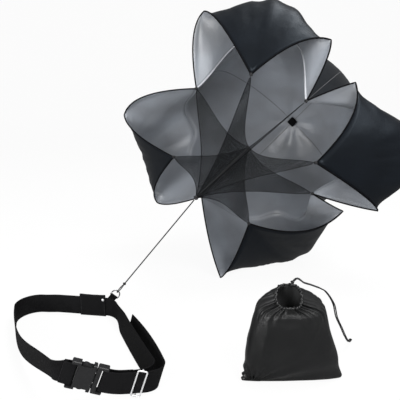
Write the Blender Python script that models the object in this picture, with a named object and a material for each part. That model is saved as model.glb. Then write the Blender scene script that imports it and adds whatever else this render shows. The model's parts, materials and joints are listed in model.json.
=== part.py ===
# A speed parachute for resistance running, laid out as it is sold: the waist belt stands on edge,
# its tether runs up to the open canopy, and the carry bag stands beside them. Metres, Z up.

import math
from math import cos, pi, radians, sin, tan

import bmesh
import bpy
from mathutils import Matrix, Vector

# The frames below are placed from a standing point in front of the layout. The origin lies under
# the middle of the whole set, this far from that point.
STAND_POINT_X = -0.0685
STAND_POINT_Y = -1.0460

# Common sizes
SEAT_GAP = 0.0003  # gap between neighbours that touch
RUNNING_GAP = 0.0005  # gap round a piece that slides
CUT_OVERRUN = 0.004  # how far a cutter runs past what it cuts
FLOOR_FLAT = 0.0005  # height of the lowest flats above the floor

# Belt webbing, standing on its edge
WEB_WIDTH = 0.044
WEB_THICKNESS = 0.0018
WEB_STEP = 0.0090  # length of one facet of the webbing
FACET_TURN = 12.0  # the most that one facet turns
LEFT_RAISE_REACH = 0.240  # length over which the webbing comes down from the buckle
STRAP_STEPS = 5
SLEEVE_RAISE = 0.0022  # height of the webbing's lower edge inside the sleeve
SLEEVE_RAISE_REACH = 0.040
LEVEL_REACH = 0.060  # length over which the strap comes down past the slide adjuster
LEAN_REACH = 0.080
RIGHT_SPREAD = 16.0  # how far the right side of the belt leans outwards
TAIL_SPREAD = 18.0
SPREAD_REACH = 0.060

# The main run of webbing, from the housing round the left, the back and the right: each
# stretch has a length and turns to the right by an angle.
LEFT_TURN_LENGTH, LEFT_TURN = 0.0200, 51.5
LEFT_SIDE_LENGTH, LEFT_SIDE_TURN = 0.3080, 27.3
BACK_LEFT_LENGTH, BACK_LEFT_TURN = 0.0869, 117.4
BACK_RUN_LENGTH, BACK_RUN_TURN = 0.1500, 0.0
BACK_RIGHT_LENGTH, BACK_RIGHT_TURN = 0.0380, 59.2
RIGHT_SIDE_LENGTH, RIGHT_SIDE_TURN = 0.2363, -4.3
FRONT_CORNER_LENGTH, FRONT_CORNER_TURN = 0.0560, 111.7

# The outer run, from the slide adjuster round the right side to its cut end: it turns left.
TAIL_START_LENGTH, TAIL_START_TURN = 0.0148, 0.0
TAIL_CORNER_LENGTH, TAIL_CORNER_TURN = 0.0568, 103.9
TAIL_SIDE_LENGTH, TAIL_SIDE_TURN = 0.1860, 12.9

# Buckle frame: its origin is the middle of the buckle, x runs along the strap towards the plug,
# y inwards, z across the strap. The front of the belt runs down towards the plug.
BUCKLE_X = -0.1848
BUCKLE_Y = 0.6353
BUCKLE_Z = 0.0446
BUCKLE_YAW = 8.0
BUCKLE_TILT = 20.0
BUCKLE_LEAN = 8.0  # the front of the belt leans outwards

# Side-release buckle
BUCKLE_HEIGHT = 0.0545
BUCKLE_DEPTH = 0.0125
HOUSING_LENGTH = 0.0415
PLUG_LENGTH = 0.0185
BUCKLE_SLIT = 0.0014  # open slit between the housing and the plug's shoulder
BUCKLE_WALL = 0.0022
BUCKLE_ROUND = 0.0018
BUCKLE_BAR = 0.0050  # bar at each end that the webbing is looped on
WEB_BAR_DEPTH = 0.0036  # the bar itself, recessed between the webbing's two layers
WEB_SLOT = 0.0062
WINDOW_LENGTH = 0.0202  # side window that shows the arm's pad
WINDOW_DEPTH = 0.0053
WINDOW_MARGIN = 0.0060  # from the housing's mouth to the window
CAVITY_HALF_HEIGHT = 0.0236
ARM_REACH = 0.0270
ARM_ROOT_HEIGHT = 0.0180  # outer side of the arm at its root, from the buckle's middle line
ARM_ROOT_WIDTH = 0.0040
ARM_PAD_HEIGHT = 0.0258
# The arm's outline from its root: shares of its reach, of the pad's rise and of the root's width
ARM_SHARES = (
    (0.00, 0.00, 0.0),
    (0.29, 0.45, 0.0),
    (0.41, 0.62, 0.0),
    (0.50, 0.76, 0.0),
    (0.64, 1.00, 0.0),
    (0.80, 1.00, 0.0),
    (0.94, 0.62, 0.0),
    (1.00, 0.17, 0.0),
    (1.00, 0.17, -0.78),
    (0.80, 0.85, -1.0),
    (0.64, 0.80, -1.0),
    (0.41, 0.45, -1.0),
    (0.20, 0.20, -1.0),
    (0.00, 0.00, -1.0),
)
TONGUE_LENGTH = 0.0220
TONGUE_HALF_HEIGHT = 0.0070
TONGUE_THICKNESS = 0.0045
PLUG_TRAVEL = 0.0080  # how far the plug backs out as its arms are squeezed
STRAP_BEND = 0.0300  # length of strap past the plug over which it bends level
STRAP_LEAD = 0.0080  # level strap that moves with the plug, past the bend
HOUSING_STRAP_LEAD = 0.0120
SEWN_LENGTH = 0.0060  # end of the belt that is sewn between the housing strap's layers
LAYER_SPACING = 0.0066  # between the middles of the strap's two layers at the buckle

# Slide adjuster
ADJUSTER_OFFSET = 0.0255  # from the strap's bend to its centre bar
ADJUSTER_SKEW = 17.0  # the frame sits askew on the strap
ADJUSTER_WIDTH = 0.0180
ADJUSTER_WIRE = 0.0026
ADJUSTER_CORNER = 0.0030
ADJUSTER_PLAY = 0.0026  # between the strap's edges and the frame
CENTRE_BAR = 0.0030

# Sleeve and ring at the back of the belt
SLEEVE_LENGTH = 0.0600
SLEEVE_WALL = 0.0012
SLEEVE_SLACK = 0.0040  # headroom of the sleeve over the webbing
SLEEVE_START = 0.0880  # from the start of the back run
SLEEVE_TRAVEL = 0.0500  # how far the sleeve slides back towards the start of that run
ANCHOR_HEIGHT = 0.0180
ANCHOR_LENGTH = 0.0470
RIVET_DIAMETER = 0.0060
RIVET_HEIGHT = 0.0014
RIVET_INSET = 0.0050
# The ring's frame, from the middle of the sleeve: x along it, y to the outside of the belt
RING_FROM_SLEEVE_X = 0.0325
RING_FROM_SLEEVE_Y = 0.0110
RING_FROM_SLEEVE_Z = 0.0047
RING_TURN = 28.25  # from the sleeve's run to the tether's direction
RING_RISE = 46.0
TAB_LENGTH = 0.0200
TAB_WIDTH = 0.0170
TAB_THICKNESS = 0.0018
TAB_WRAP = 0.0014  # webbing round the ring's bar
RING_WIRE = 0.0028
RING_WIDTH = 0.0240
RING_REACH = 0.0170
RING_CORNER = 0.0020
RING_POINTS = 10

# Tether, in the ring's frame, x towards the canopy
TETHER_DIAMETER = 0.0030
TETHER_KNOT = 0.0080
TETHER_LOOP_WIDTH = 0.0100
TETHER_LOOP_CORD = 0.0024
TETHER_KNOT_X = 0.0565
TETHER_POINTS = 28

# Canopy frame, from the standing point: x to the canopy's right, y up, z out of its mouth
CANOPY_X = 0.1231
CANOPY_Y = 1.1027
CANOPY_Z = 0.3719
CANOPY_YAW = 24.0  # the back of the canopy points this far to the right of +Y
CANOPY_SLOPE = 6.0
CANOPY_ROLL = 4.5

# Canopy sizes
TIE_RADIUS = 0.190  # ring of the eight points where the net is tied to the fabric
CORNER_RADIUS = 0.350  # ring of the petals' eight outer corners
CORNER_DEPTH = 0.110  # how far the corners lie behind the ring of ties
ROOT_RADIUS = 0.245  # middle of the seam between the centre panel and a petal
ROOT_DEPTH = 0.205
ROOT_SWELL = 0.030  # how far the seam's two halves bow outwards
CORNER_SWELL = 0.075  # how far a petal swells back next to its corners
PANEL_SWELL = 0.030  # how far the panel's four corners bow outwards
FOLD_RADIUS = 0.395  # middle of a petal where it folds forward
FOLD_DEPTH = 0.135
APEX_DEPTH = 0.390
APEX_X = 0.023
APEX_Y = 0.006
FABRIC_THICKNESS = 0.0012
NET_THICKNESS = 0.0006
HEM_DIAMETER = 0.0030
HEM_CLEARANCE = 0.0012  # from a hem to the fabric's edge
KNOB_DIAMETER = 0.0100  # knotted tab at each of the eight ties
PATCH_SIZE = 0.0300
PATCH_THICKNESS = 0.0010
CORE_DIAMETER = 0.0036  # corded seam where the eight net panels meet
BRIDLE_DIAMETER = 0.0120
BRIDLE_X = -0.085  # front end of the corded seam
BRIDLE_Y = -0.085
BRIDLE_Z = 0.161
FOLD_HEIGHT = 0.0020  # main folds of the fabric
RIDGE_HEIGHT = 0.0100  # fold along the middle of a petal
FOLD_COUNT = 5

# Ties: angle in degrees, share of TIE_RADIUS, share of CORNER_DEPTH
TIE_SHARES = {
    "right": (346.0, 0.90, -0.13),
    "upper_right": (35.0, 0.91, 0.25),
    "top": (84.0, 0.917, 0.05),
    "upper_left": (132.0, 1.09, 0.24),
    "left": (184.5, 1.10, -0.14),
    "lower_left": (221.4, 1.08, 0.12),
    "bottom": (266.0, 1.06, -0.10),
    "lower_right": (318.0, 1.03, 0.29),
}

# Petals, each going anticlockwise as seen from the front. A corner has an angle, a share of
# CORNER_RADIUS and one of CORNER_DEPTH, and the fold an angle and shares of FOLD_RADIUS and
# FOLD_DEPTH. The bows are shares of the side hems' lengths, and the ridge is one of RIDGE_HEIGHT.
PETAL_SHARES = {
    "right": {
        "ties": ("lower_right", "right", "upper_right"),
        "corners": ((326.5, 1.01, 0.89), (27.4, 0.79, 0.93)),
        "fold": (352.0, 0.99, 1.0),
        "side_bows": (0.06, 0.08),
        "ridge": 0.5,
    },
    "top": {
        "ties": ("upper_right", "top", "upper_left"),
        "corners": ((50.6, 0.855, 1.06), (111.0, 1.06, 1.07)),
        "fold": (82.0, 0.859, 1.0),
        "side_bows": (0.14, 0.16),
        "ridge": 1.0,
    },
    "left": {
        "ties": ("upper_left", "left", "lower_left"),
        "corners": ((165.6, 1.145, 0.44), (207.7, 1.10, 0.75)),
        "fold": (187.0, 0.95, 0.8),
        "side_bows": (0.18, 0.12),
        "ridge": 0.4,
    },
    "bottom": {
        "ties": ("lower_left", "bottom", "lower_right"),
        "corners": ((253.4, 1.08, -0.20), (313.6, 0.845, 1.33)),
        "fold": (275.0, 1.0, 1.5),
        "side_bows": (0.06, 0.06),
        "ridge": 0.8,
    },
}
PANEL_CORNERS = ("upper_right", "upper_left", "lower_left", "lower_right")

PETAL_COLUMNS = 16
PETAL_ROWS = 9
PANEL_STEPS = 16
NET_COLUMNS = 6
NET_ROWS = 6
SEAM_POINTS = 16
CORNER_PEAK_SHARE = 6.75  # makes the panel's corner swell reach its full height
HEM_BOW_SHARE = 0.16
NET_SCOOP_SHARE = 0.16
FOLD_ROUNDNESS_SHARE = 0.45
RIDGE_WIDTH_SHARE = 0.55
CORNER_SPLAY_SHARE = 0.7  # how far the swell next to a corner leans outwards
CORNER_MARGIN_SHARE = 1.5  # the fabric's margin to its hem next to a corner
CORNER_REACH_SHARE = 0.15  # how much of two hems gives the plane of their corner
CLEAR_STEPS = 6
EVEN_SHARE = 0.35  # how evenly the fabric's grid is spaced across a petal

# Carry bag, standing beside the belt
BAG_X = 0.1627
BAG_Y = 0.6940
BAG_YAW = 2.7
BAG_HEIGHT = 0.160  # to the middle of its mouth
BAG_HALF_WIDTH = 0.0903
BAG_HALF_DEPTH = 0.029
BAG_WALL = 0.0022
BAG_FLOOR = 0.0030
BAG_SIDES = 24
BAG_SQUARENESS = 0.75
BAG_HEM_DIAMETER = 0.0044
# Rings from the base up: shares of the height, half width and half depth, the tilt in degrees,
# the shift towards the back as a share of the half depth, and that to the right of the width.
BAG_RING_SHARES = (
    (0.000, 1.000, 0.21, 0.0, 0.00, 0.000),
    (0.060, 0.990, 0.55, 0.0, 0.00, 0.000),
    (0.280, 0.915, 0.97, 0.0, 0.00, -0.030),
    (0.594, 0.775, 1.00, 0.0, 0.00, -0.075),
    (0.810, 0.680, 0.93, 12.0, 0.00, -0.083),
    (0.895, 0.615, 0.90, 28.0, -0.05, -0.090),
    (0.940, 0.500, 0.845, 38.0, -0.10, -0.110),
    (0.972, 0.365, 0.79, 44.0, -0.18, -0.130),
    (1.000, 0.250, 0.745, 46.0, -0.24, -0.150),
)
DRAWSTRING_DIAMETER = 0.0024
DRAWSTRING_KNOT = 0.0070
STRAND_SPACING = 0.0030
DRAWSTRING_POINTS = 40

# The drawstring's route from the bag's neck over its shoulder to the floor, from the standing
# point
DRAWSTRING_ROUTE = (
    (0.1610, 0.7062, 0.1805),
    (0.1650, 0.7072, 0.1840),
    (0.1690, 0.7072, 0.1845),
    (0.1735, 0.7057, 0.1820),
    (0.1790, 0.7052, 0.1780),
    (0.1900, 0.7052, 0.1745),
    (0.2010, 0.7062, 0.1700),
    (0.2090, 0.7082, 0.1660),
    (0.2215, 0.7142, 0.1560),
    (0.2385, 0.7242, 0.1300),
    (0.2510, 0.7392, 0.0960),
    (0.2675, 0.7572, 0.0650),
    (0.2830, 0.7772, 0.0360),
    (0.2980, 0.7972, 0.0125),
    (0.3080, 0.8152, 0.0050),
)


def clear_scene():
    """Removes whatever the scene holds."""
    for item in list(bpy.data.objects):
        bpy.data.objects.remove(item)


def new_material(name, colour, roughness, metallic=0.0):
    """A Principled material with a plain colour."""
    material = bpy.data.materials.new(name)
    material.use_nodes = True
    shader = material.node_tree.nodes["Principled BSDF"]
    shader.inputs["Base Color"].default_value = (*colour, 1.0)
    shader.inputs["Roughness"].default_value = roughness
    shader.inputs["Metallic"].default_value = metallic
    return material


def new_frame(name, parent, matrix):
    """An empty that carries the pieces modelled in its own frame."""
    frame = bpy.data.objects.new(name, None)
    bpy.context.scene.collection.objects.link(frame)
    frame.parent = parent
    frame.matrix_local = matrix
    return frame


def finish_object(item, parent, material, smooth=40.0):
    """Links an object, parents it and gives it its material."""
    bpy.context.scene.collection.objects.link(item)
    item.parent = parent
    item.data.materials.append(material)
    if item.type == "MESH" and smooth:
        item.data.shade_smooth()
        item.data.set_sharp_from_angle(angle=radians(smooth))
    return item


def mesh_object(name, vertices, faces, parent, material, smooth=40.0):
    """A mesh object from vertices and faces, with its normals turned outwards."""
    mesh = bpy.data.meshes.new(name)
    mesh.from_pydata([tuple(vertex) for vertex in vertices], [], faces)
    shape = bmesh.new()
    shape.from_mesh(mesh)
    bmesh.ops.recalc_face_normals(shape, faces=shape.faces)
    shape.to_mesh(mesh)
    shape.free()
    return finish_object(bpy.data.objects.new(name, mesh), parent, material, smooth)


def thicken(item, thickness):
    """Gives a surface an even thickness about its middle."""
    solidify = item.modifiers.new("Thickness", "SOLIDIFY")
    solidify.thickness = thickness
    solidify.offset = 0.0


def sheet_object(name, grid, thickness, parent, material):
    """A sheet of even thickness, its middle surface through a grid of points."""
    columns = len(grid[0])
    vertices = [point for row in grid for point in row]
    faces = [
        (
            row * columns + column,
            row * columns + column + 1,
            (row + 1) * columns + column + 1,
            (row + 1) * columns + column,
        )
        for row in range(len(grid) - 1)
        for column in range(columns - 1)
    ]
    item = mesh_object(name, vertices, faces, parent, material, smooth=60.0)
    thicken(item, thickness)
    return item


def tube_object(name, points, diameter, parent, material, sides_level=1, cyclic=False):
    """A round cord or wire through a list of points."""
    curve = bpy.data.curves.new(name, "CURVE")
    curve.dimensions = "3D"
    curve.bevel_depth = diameter / 2
    curve.bevel_resolution = sides_level
    curve.use_fill_caps = not cyclic
    spline = curve.splines.new("POLY")
    spline.points.add(len(points) - 1)
    for place, point in zip(spline.points, points):
        place.co = (*point, 1.0)
    spline.use_cyclic_u = cyclic
    return finish_object(bpy.data.objects.new(name, curve), parent, material)


def band_object(name, stations, parent, material, width=WEB_WIDTH, thickness=WEB_THICKNESS):
    """A flat strip on edge. Each station has x, y, z of its middle, its heading, and the angles
    by which its upper edge leans forward along the heading and to the left of it."""
    vertices = []
    for x, y, z, heading, lean, spread in stations:
        middle = Vector((x, y, z))
        forward = Vector((cos(heading), sin(heading), 0.0))
        left = Vector((-sin(heading), cos(heading), 0.0))
        rise = (forward * tan(lean) + left * tan(spread) + Vector((0.0, 0.0, 1.0))).normalized()
        side = rise.cross(forward).normalized() * thickness / 2
        rise *= width / 2
        for corner in (side - rise, side + rise, rise - side, -side - rise):
            vertices.append(middle + corner)
    last = len(stations) - 1
    faces = [tuple(range(4)), tuple(range(4 * last, 4 * last + 4))]
    for station in range(last):
        for corner in range(4):
            following = (corner + 1) % 4
            near, far = 4 * station, 4 * (station + 1)
            faces.append((near + corner, near + following, far + following, far + corner))
    return mesh_object(name, vertices, faces, parent, material)


def box_object(name, low, high, parent, material, round_width=0.0, segments=2):
    """A box between two corners, its edges rounded where a width is given."""
    corners = [
        (x, y, z) for x in (low[0], high[0]) for y in (low[1], high[1]) for z in (low[2], high[2])
    ]
    faces = [(0, 1, 3, 2), (4, 6, 7, 5), (0, 4, 5, 1), (2, 3, 7, 6), (0, 2, 6, 4), (1, 5, 7, 3)]
    item = mesh_object(name, corners, faces, parent, material)
    if round_width:
        bevel = item.modifiers.new("Rounding", "BEVEL")
        bevel.width = round_width
        bevel.segments = segments
    return item


def prism_object(name, outline, thickness, parent, material):
    """A plate cut to an outline of (x, z) points, centred on y = 0."""
    half = thickness / 2
    vertices = [(x, -half, z) for x, z in outline] + [(x, half, z) for x, z in outline]
    count = len(outline)
    faces = [tuple(range(count)), tuple(range(count, 2 * count))]
    for corner in range(count):
        following = (corner + 1) % count
        faces.append((corner, following, count + following, count + corner))
    return mesh_object(name, vertices, faces, parent, material)


def ball_object(name, centre, diameter, parent, material, subdivisions=2):
    """A faceted ball."""
    shape = bmesh.new()
    bmesh.ops.create_icosphere(shape, subdivisions=subdivisions, radius=diameter / 2)
    mesh = bpy.data.meshes.new(name)
    shape.to_mesh(mesh)
    shape.free()
    item = finish_object(bpy.data.objects.new(name, mesh), parent, material, smooth=60.0)
    item.location = centre
    return item


def combine(item, other, operation):
    """Cuts one object with another, or joins it on, and hides the other."""
    boolean = item.modifiers.new(operation.title(), "BOOLEAN")
    boolean.operation = operation
    boolean.solver = "EXACT"
    boolean.object = other
    other.hide_render = True
    other.display_type = "WIRE"


def walk(x, y, heading, stretches, step):
    """Stations (x, y, heading) along stretches of even curvature, each (length, turn)."""
    stations = [(x, y, heading)]
    for length, turn in stretches:
        count = max(1, round(length / step), round(abs(turn) / FACET_TURN))
        for _ in range(count):
            heading += radians(turn) / count / 2
            x += length / count * cos(heading)
            y += length / count * sin(heading)
            heading += radians(turn) / count / 2
            stations.append((x, y, heading))
    return stations


def distances_along(points):
    """The distance of each point from the first along their line."""
    along = [0.0]
    for before, after in zip(points, points[1:]):
        along.append(along[-1] + math.dist(before[:2], after[:2]))
    return along


def ease(value):
    """A smooth step from 0 to 1."""
    value = min(1.0, max(0.0, value))
    return value * value * (3.0 - 2.0 * value)


def smooth_route(route, count):
    """Points at even parameters of a smooth curve through a route's points."""
    points = [Vector(point) for point in route]
    ends = [2 * points[0] - points[1], *points, 2 * points[-1] - points[-2]]
    spans = len(points) - 1
    result = []
    for index in range(count):
        place = index * spans / (count - 1)
        span = min(int(place), spans - 1)
        share = place - span
        a, b, c, d = ends[span : span + 4]
        bend = (2 * a - 5 * b + 4 * c - d) * share**2 + (3 * b - a - 3 * c + d) * share**3
        result.append((2 * b + (c - a) * share + bend) / 2)
    return result


def trimmed(points, first, last):
    """A line of points with a length cut off at each end."""
    result = [Vector(point) for point in points]
    for cut in (first, last):
        while len(result) > 2 and (result[1] - result[0]).length <= cut:
            cut -= (result[1] - result[0]).length
            result.pop(0)
        result[0] = result[0] + (result[1] - result[0]).normalized() * cut
        result.reverse()
    return result


clear_scene()

canopy_fabric = new_material("canopy_fabric", (0.030, 0.032, 0.036), 0.45)
net = new_material("net", (0.012, 0.012, 0.014), 0.70)
webbing = new_material("webbing", (0.014, 0.014, 0.015), 0.75)
plastic = new_material("buckle_plastic", (0.020, 0.020, 0.022), 0.35)
steel = new_material("steel", (0.70, 0.70, 0.70), 0.25, 1.0)
cord = new_material("cord", (0.020, 0.020, 0.022), 0.60)
bag_fabric = new_material("bag_fabric", (0.035, 0.036, 0.038), 0.50)

layout = new_frame("layout", None, Matrix.Translation((STAND_POINT_X, STAND_POINT_Y, 0.0)))
belt_plan = Matrix.Translation((BUCKLE_X, BUCKLE_Y, 0.0)) @ Matrix.Rotation(
    radians(BUCKLE_YAW), 4, "Z"
)
buckle_lift = (
    Matrix.Translation((0.0, 0.0, BUCKLE_Z))
    @ Matrix.Rotation(radians(BUCKLE_TILT), 4, "Y")
    @ Matrix.Rotation(radians(BUCKLE_LEAN), 4, "X")
)
belt = new_frame("belt_frame", layout, belt_plan)
buckle = new_frame("buckle_frame", belt, buckle_lift)

# Buckle places, along x
housing_left = -(HOUSING_LENGTH + PLUG_LENGTH) / 2
mouth = housing_left + HOUSING_LENGTH
shoulder = mouth + BUCKLE_SLIT
plug_right = shoulder + PLUG_LENGTH
layer = LAYER_SPACING / 2
half_web = WEB_WIDTH / 2
belt_end = STRAP_LEAD + PLUG_TRAVEL + SEAT_GAP

# Frame of the level strap past the plug, x along it from the end of the bend
bend_turn = radians(BUCKLE_TILT)
bend_radius = STRAP_BEND / bend_turn
strap_matrix = Matrix.Translation(
    (plug_right + bend_radius * sin(bend_turn), 0.0, bend_radius * (1.0 - cos(bend_turn)))
) @ Matrix.Rotation(-bend_turn, 4, "Y")
strap = new_frame("strap_frame", buckle, strap_matrix)


def recess_web_bar(item, name, low_x, high_x):
    """Thins the end bar that the webbing is looped on, from both faces."""
    for face, side in (("front", -1), ("back", 1)):
        depths = (side * WEB_BAR_DEPTH / 2, side * (BUCKLE_DEPTH / 2 + CUT_OVERRUN))
        recess = box_object(
            f"{name}_{face}_recess_cutter",
            (low_x, min(depths), -half_web - RUNNING_GAP),
            (high_x, max(depths), half_web + RUNNING_GAP),
            buckle,
            plastic,
        )
        combine(item, recess, "DIFFERENCE")


def make_housing():
    """The female half: a flat box, open at its mouth, with side windows and a bar."""
    half_height, half_depth = BUCKLE_HEIGHT / 2, BUCKLE_DEPTH / 2
    housing = box_object(
        "buckle_housing",
        (housing_left, -half_depth, -half_height),
        (mouth, half_depth, half_height),
        buckle,
        plastic,
        BUCKLE_ROUND,
    )
    bar_end = housing_left + BUCKLE_BAR + WEB_SLOT
    cavity = box_object(
        "cavity_cutter",
        (bar_end + BUCKLE_WALL, -half_depth + BUCKLE_WALL, -CAVITY_HALF_HEIGHT),
        (mouth + CUT_OVERRUN, half_depth - BUCKLE_WALL, CAVITY_HALF_HEIGHT),
        buckle,
        plastic,
    )
    combine(housing, cavity, "DIFFERENCE")
    for name, side in (("upper", 1), ("lower", -1)):
        edges = (side * (half_height - WINDOW_DEPTH), side * (half_height + CUT_OVERRUN))
        window = box_object(
            f"{name}_window_cutter",
            (mouth - WINDOW_MARGIN - WINDOW_LENGTH, -half_depth - CUT_OVERRUN, min(edges)),
            (mouth - WINDOW_MARGIN, half_depth + CUT_OVERRUN, max(edges)),
            buckle,
            plastic,
        )
        combine(housing, window, "DIFFERENCE")
    slot = box_object(
        "housing_slot_cutter",
        (housing_left + BUCKLE_BAR, -half_depth - CUT_OVERRUN, -half_web - RUNNING_GAP),
        (bar_end, half_depth + CUT_OVERRUN, half_web + RUNNING_GAP),
        buckle,
        plastic,
    )
    combine(housing, slot, "DIFFERENCE")
    bar_x = housing_left + BUCKLE_BAR + WEB_SLOT / 2
    recess_web_bar(housing, "housing", housing_left - CUT_OVERRUN, bar_x)


def make_plug():
    """The male half: a slotted shoulder and the guide tongue between its arms."""
    half_height, half_depth = BUCKLE_HEIGHT / 2, BUCKLE_DEPTH / 2
    plug = box_object(
        "buckle_plug",
        (shoulder, -half_depth, -half_height),
        (plug_right, half_depth, half_height),
        buckle,
        plastic,
        BUCKLE_ROUND,
    )
    tongue = box_object(
        "tongue_stock",
        (shoulder - TONGUE_LENGTH, -TONGUE_THICKNESS / 2, -TONGUE_HALF_HEIGHT),
        (shoulder + BUCKLE_WALL, TONGUE_THICKNESS / 2, TONGUE_HALF_HEIGHT),
        buckle,
        plastic,
    )
    combine(plug, tongue, "UNION")
    slot = box_object(
        "plug_slot_cutter",
        (plug_right - BUCKLE_BAR - WEB_SLOT, -half_depth - CUT_OVERRUN, -half_web - RUNNING_GAP),
        (plug_right - BUCKLE_BAR, half_depth + CUT_OVERRUN, half_web + RUNNING_GAP),
        buckle,
        plastic,
    )
    combine(plug, slot, "DIFFERENCE")
    bar_x = plug_right - BUCKLE_BAR - WEB_SLOT / 2
    recess_web_bar(plug, "plug", bar_x, plug_right + CUT_OVERRUN)


def make_arm(name, side):
    """One springy arm of the plug, with the pad that shows in the housing's window."""
    root = shoulder - SEAT_GAP
    pad_rise = ARM_PAD_HEIGHT - ARM_ROOT_HEIGHT
    outline = [
        (
            root - along_share * ARM_REACH,
            side * (ARM_ROOT_HEIGHT + rise_share * pad_rise + width_share * ARM_ROOT_WIDTH),
        )
        for along_share, rise_share, width_share in ARM_SHARES
    ]
    thickness = BUCKLE_DEPTH - 2 * (BUCKLE_WALL + SEAT_GAP)
    prism_object(name, outline, thickness, buckle, plastic)


def make_housing_strap():
    """A fold of webbing round the housing's bar, sewn to the belt's end between its layers."""
    bar_x = housing_left + BUCKLE_BAR
    end_x = housing_left - HOUSING_STRAP_LEAD
    end_y = WEB_THICKNESS + SEAT_GAP
    fold = walk(bar_x, -layer, 0.0, ((pi * layer, 180.0),), STRAP_BEND)
    path = [(end_x, -end_y, 0.0), (housing_left, -layer, 0.0), *fold]
    path += [(housing_left, layer, pi), (end_x, end_y, pi)]
    stations = [(x, y, 0.0, heading, 0.0, 0.0) for x, y, heading in path]
    band_object("housing_strap", stations, buckle, webbing)


def make_plug_strap():
    """A fold of webbing round the plug's bar, whose two layers bend level past the plug."""
    bar_x = plug_right - BUCKLE_BAR
    turn_back = walk(bar_x, layer, pi, ((pi * layer, 180.0),), STRAP_BEND)
    far = []
    for step in range(STRAP_STEPS + 1):
        turned = bend_turn * step / STRAP_STEPS
        x = plug_right + bend_radius * sin(turned)
        far.append((x, bend_radius * (1.0 - cos(turned)), turned))
    far.append(
        (
            far[-1][0] + STRAP_LEAD * cos(bend_turn),
            far[-1][1] + STRAP_LEAD * sin(bend_turn),
            bend_turn,
        )
    )
    stations = [(x, layer, z, pi, turned, 0.0) for x, z, turned in reversed(far)]
    stations += [(x, y, 0.0, heading, 0.0, 0.0) for x, y, heading in turn_back]
    stations += [(x, -layer, z, 2.0 * pi, -turned, 0.0) for x, z, turned in far]
    band_object("plug_strap", stations, buckle, webbing)


def make_adjuster():
    """A wire frame in front of the strap, with a centre bar behind the outer layer."""
    adjuster_frame = new_frame(
        "adjuster_frame",
        strap,
        Matrix.Translation((ADJUSTER_OFFSET, 0.0, 0.0))
        @ Matrix.Rotation(radians(ADJUSTER_SKEW), 4, "Y"),
    )
    side_y = -layer - WEB_THICKNESS / 2 - SEAT_GAP - ADJUSTER_WIRE / 2
    half_width = (ADJUSTER_WIDTH - ADJUSTER_WIRE) / 2
    half_height = half_web + ADJUSTER_PLAY + ADJUSTER_WIRE / 2
    bar_depth = layer - WEB_THICKNESS / 2 - SEAT_GAP
    corner_steps = 3
    ring = []
    for quarter in range(4):
        sign_x = 1 if quarter in (0, 3) else -1
        sign_z = 1 if quarter < 2 else -1
        for step in range(corner_steps + 1):
            angle = radians(90.0 * quarter + 90.0 * step / corner_steps)
            ring.append(
                (
                    sign_x * (half_width - ADJUSTER_CORNER)
                    + ADJUSTER_CORNER * cos(angle),
                    side_y,
                    sign_z * (half_height - ADJUSTER_CORNER) + ADJUSTER_CORNER * sin(angle),
                )
            )
    frame = tube_object("slide_adjuster", ring, ADJUSTER_WIRE, adjuster_frame, steel, 2, cyclic=True)
    frame_mesh = bpy.data.meshes.new_from_object(frame)
    bpy.data.objects.remove(frame)
    frame_mesh.name = "slide_adjuster"
    adjuster = finish_object(
        bpy.data.objects.new("slide_adjuster", frame_mesh), adjuster_frame, steel, smooth=0.0
    )
    bar = box_object(
        "centre_bar_stock",
        (
            -CENTRE_BAR / 2,
            -bar_depth,
            -half_height - ADJUSTER_WIRE / 2 + SEAT_GAP,
        ),
        (
            CENTRE_BAR / 2,
            bar_depth,
            half_height + ADJUSTER_WIRE / 2 - SEAT_GAP,
        ),
        adjuster_frame,
        steel,
        CENTRE_BAR / 5,
        1,
    )
    combine(adjuster, bar, "UNION")
    for name, side in (("upper", 1), ("lower", -1)):
        heights = (
            side * (half_web + ADJUSTER_PLAY),
            side * (half_height + ADJUSTER_WIRE / 2 - SEAT_GAP),
        )
        post = box_object(
            f"{name}_post_stock",
            (-CENTRE_BAR / 2, side_y, min(heights)),
            (CENTRE_BAR / 2, CENTRE_BAR / 3, max(heights)),
            adjuster_frame,
            steel,
        )
        combine(adjuster, post, "UNION")
    return adjuster


make_housing()
make_plug()
make_arm("buckle_arm_upper", 1)
make_arm("buckle_arm_lower", -1)
make_housing_strap()
make_plug_strap()
make_adjuster()


back_start = LEFT_TURN_LENGTH + LEFT_SIDE_LENGTH + BACK_LEFT_LENGTH
tilt = radians(BUCKLE_TILT)
spread_front = radians(BUCKLE_LEAN)


def front_place(x, y):
    """A place on the front of the belt, given along the buckle's frame, in the belt's plan."""
    return buckle_lift @ Vector((x, y, 0.0))


def strap_place(x, y):
    """A place on the level strap, given along the strap's frame, in the belt's plan."""
    return buckle_lift @ strap_matrix @ Vector((x, y, 0.0))


strap_run = strap_place(1.0, 0.0) - strap_place(0.0, 0.0)
strap_heading = math.atan2(strap_run.y, strap_run.x)
strap_lower_edge = strap_place(belt_end, 0.0).z - half_web * cos(spread_front)


def come_down(distance):
    """The lower edge's height at a distance past the strap's level stretch."""
    drop = strap_lower_edge - FLOOR_FLAT
    return FLOOR_FLAT + drop * (1.0 - ease(distance / LEVEL_REACH))


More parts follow.
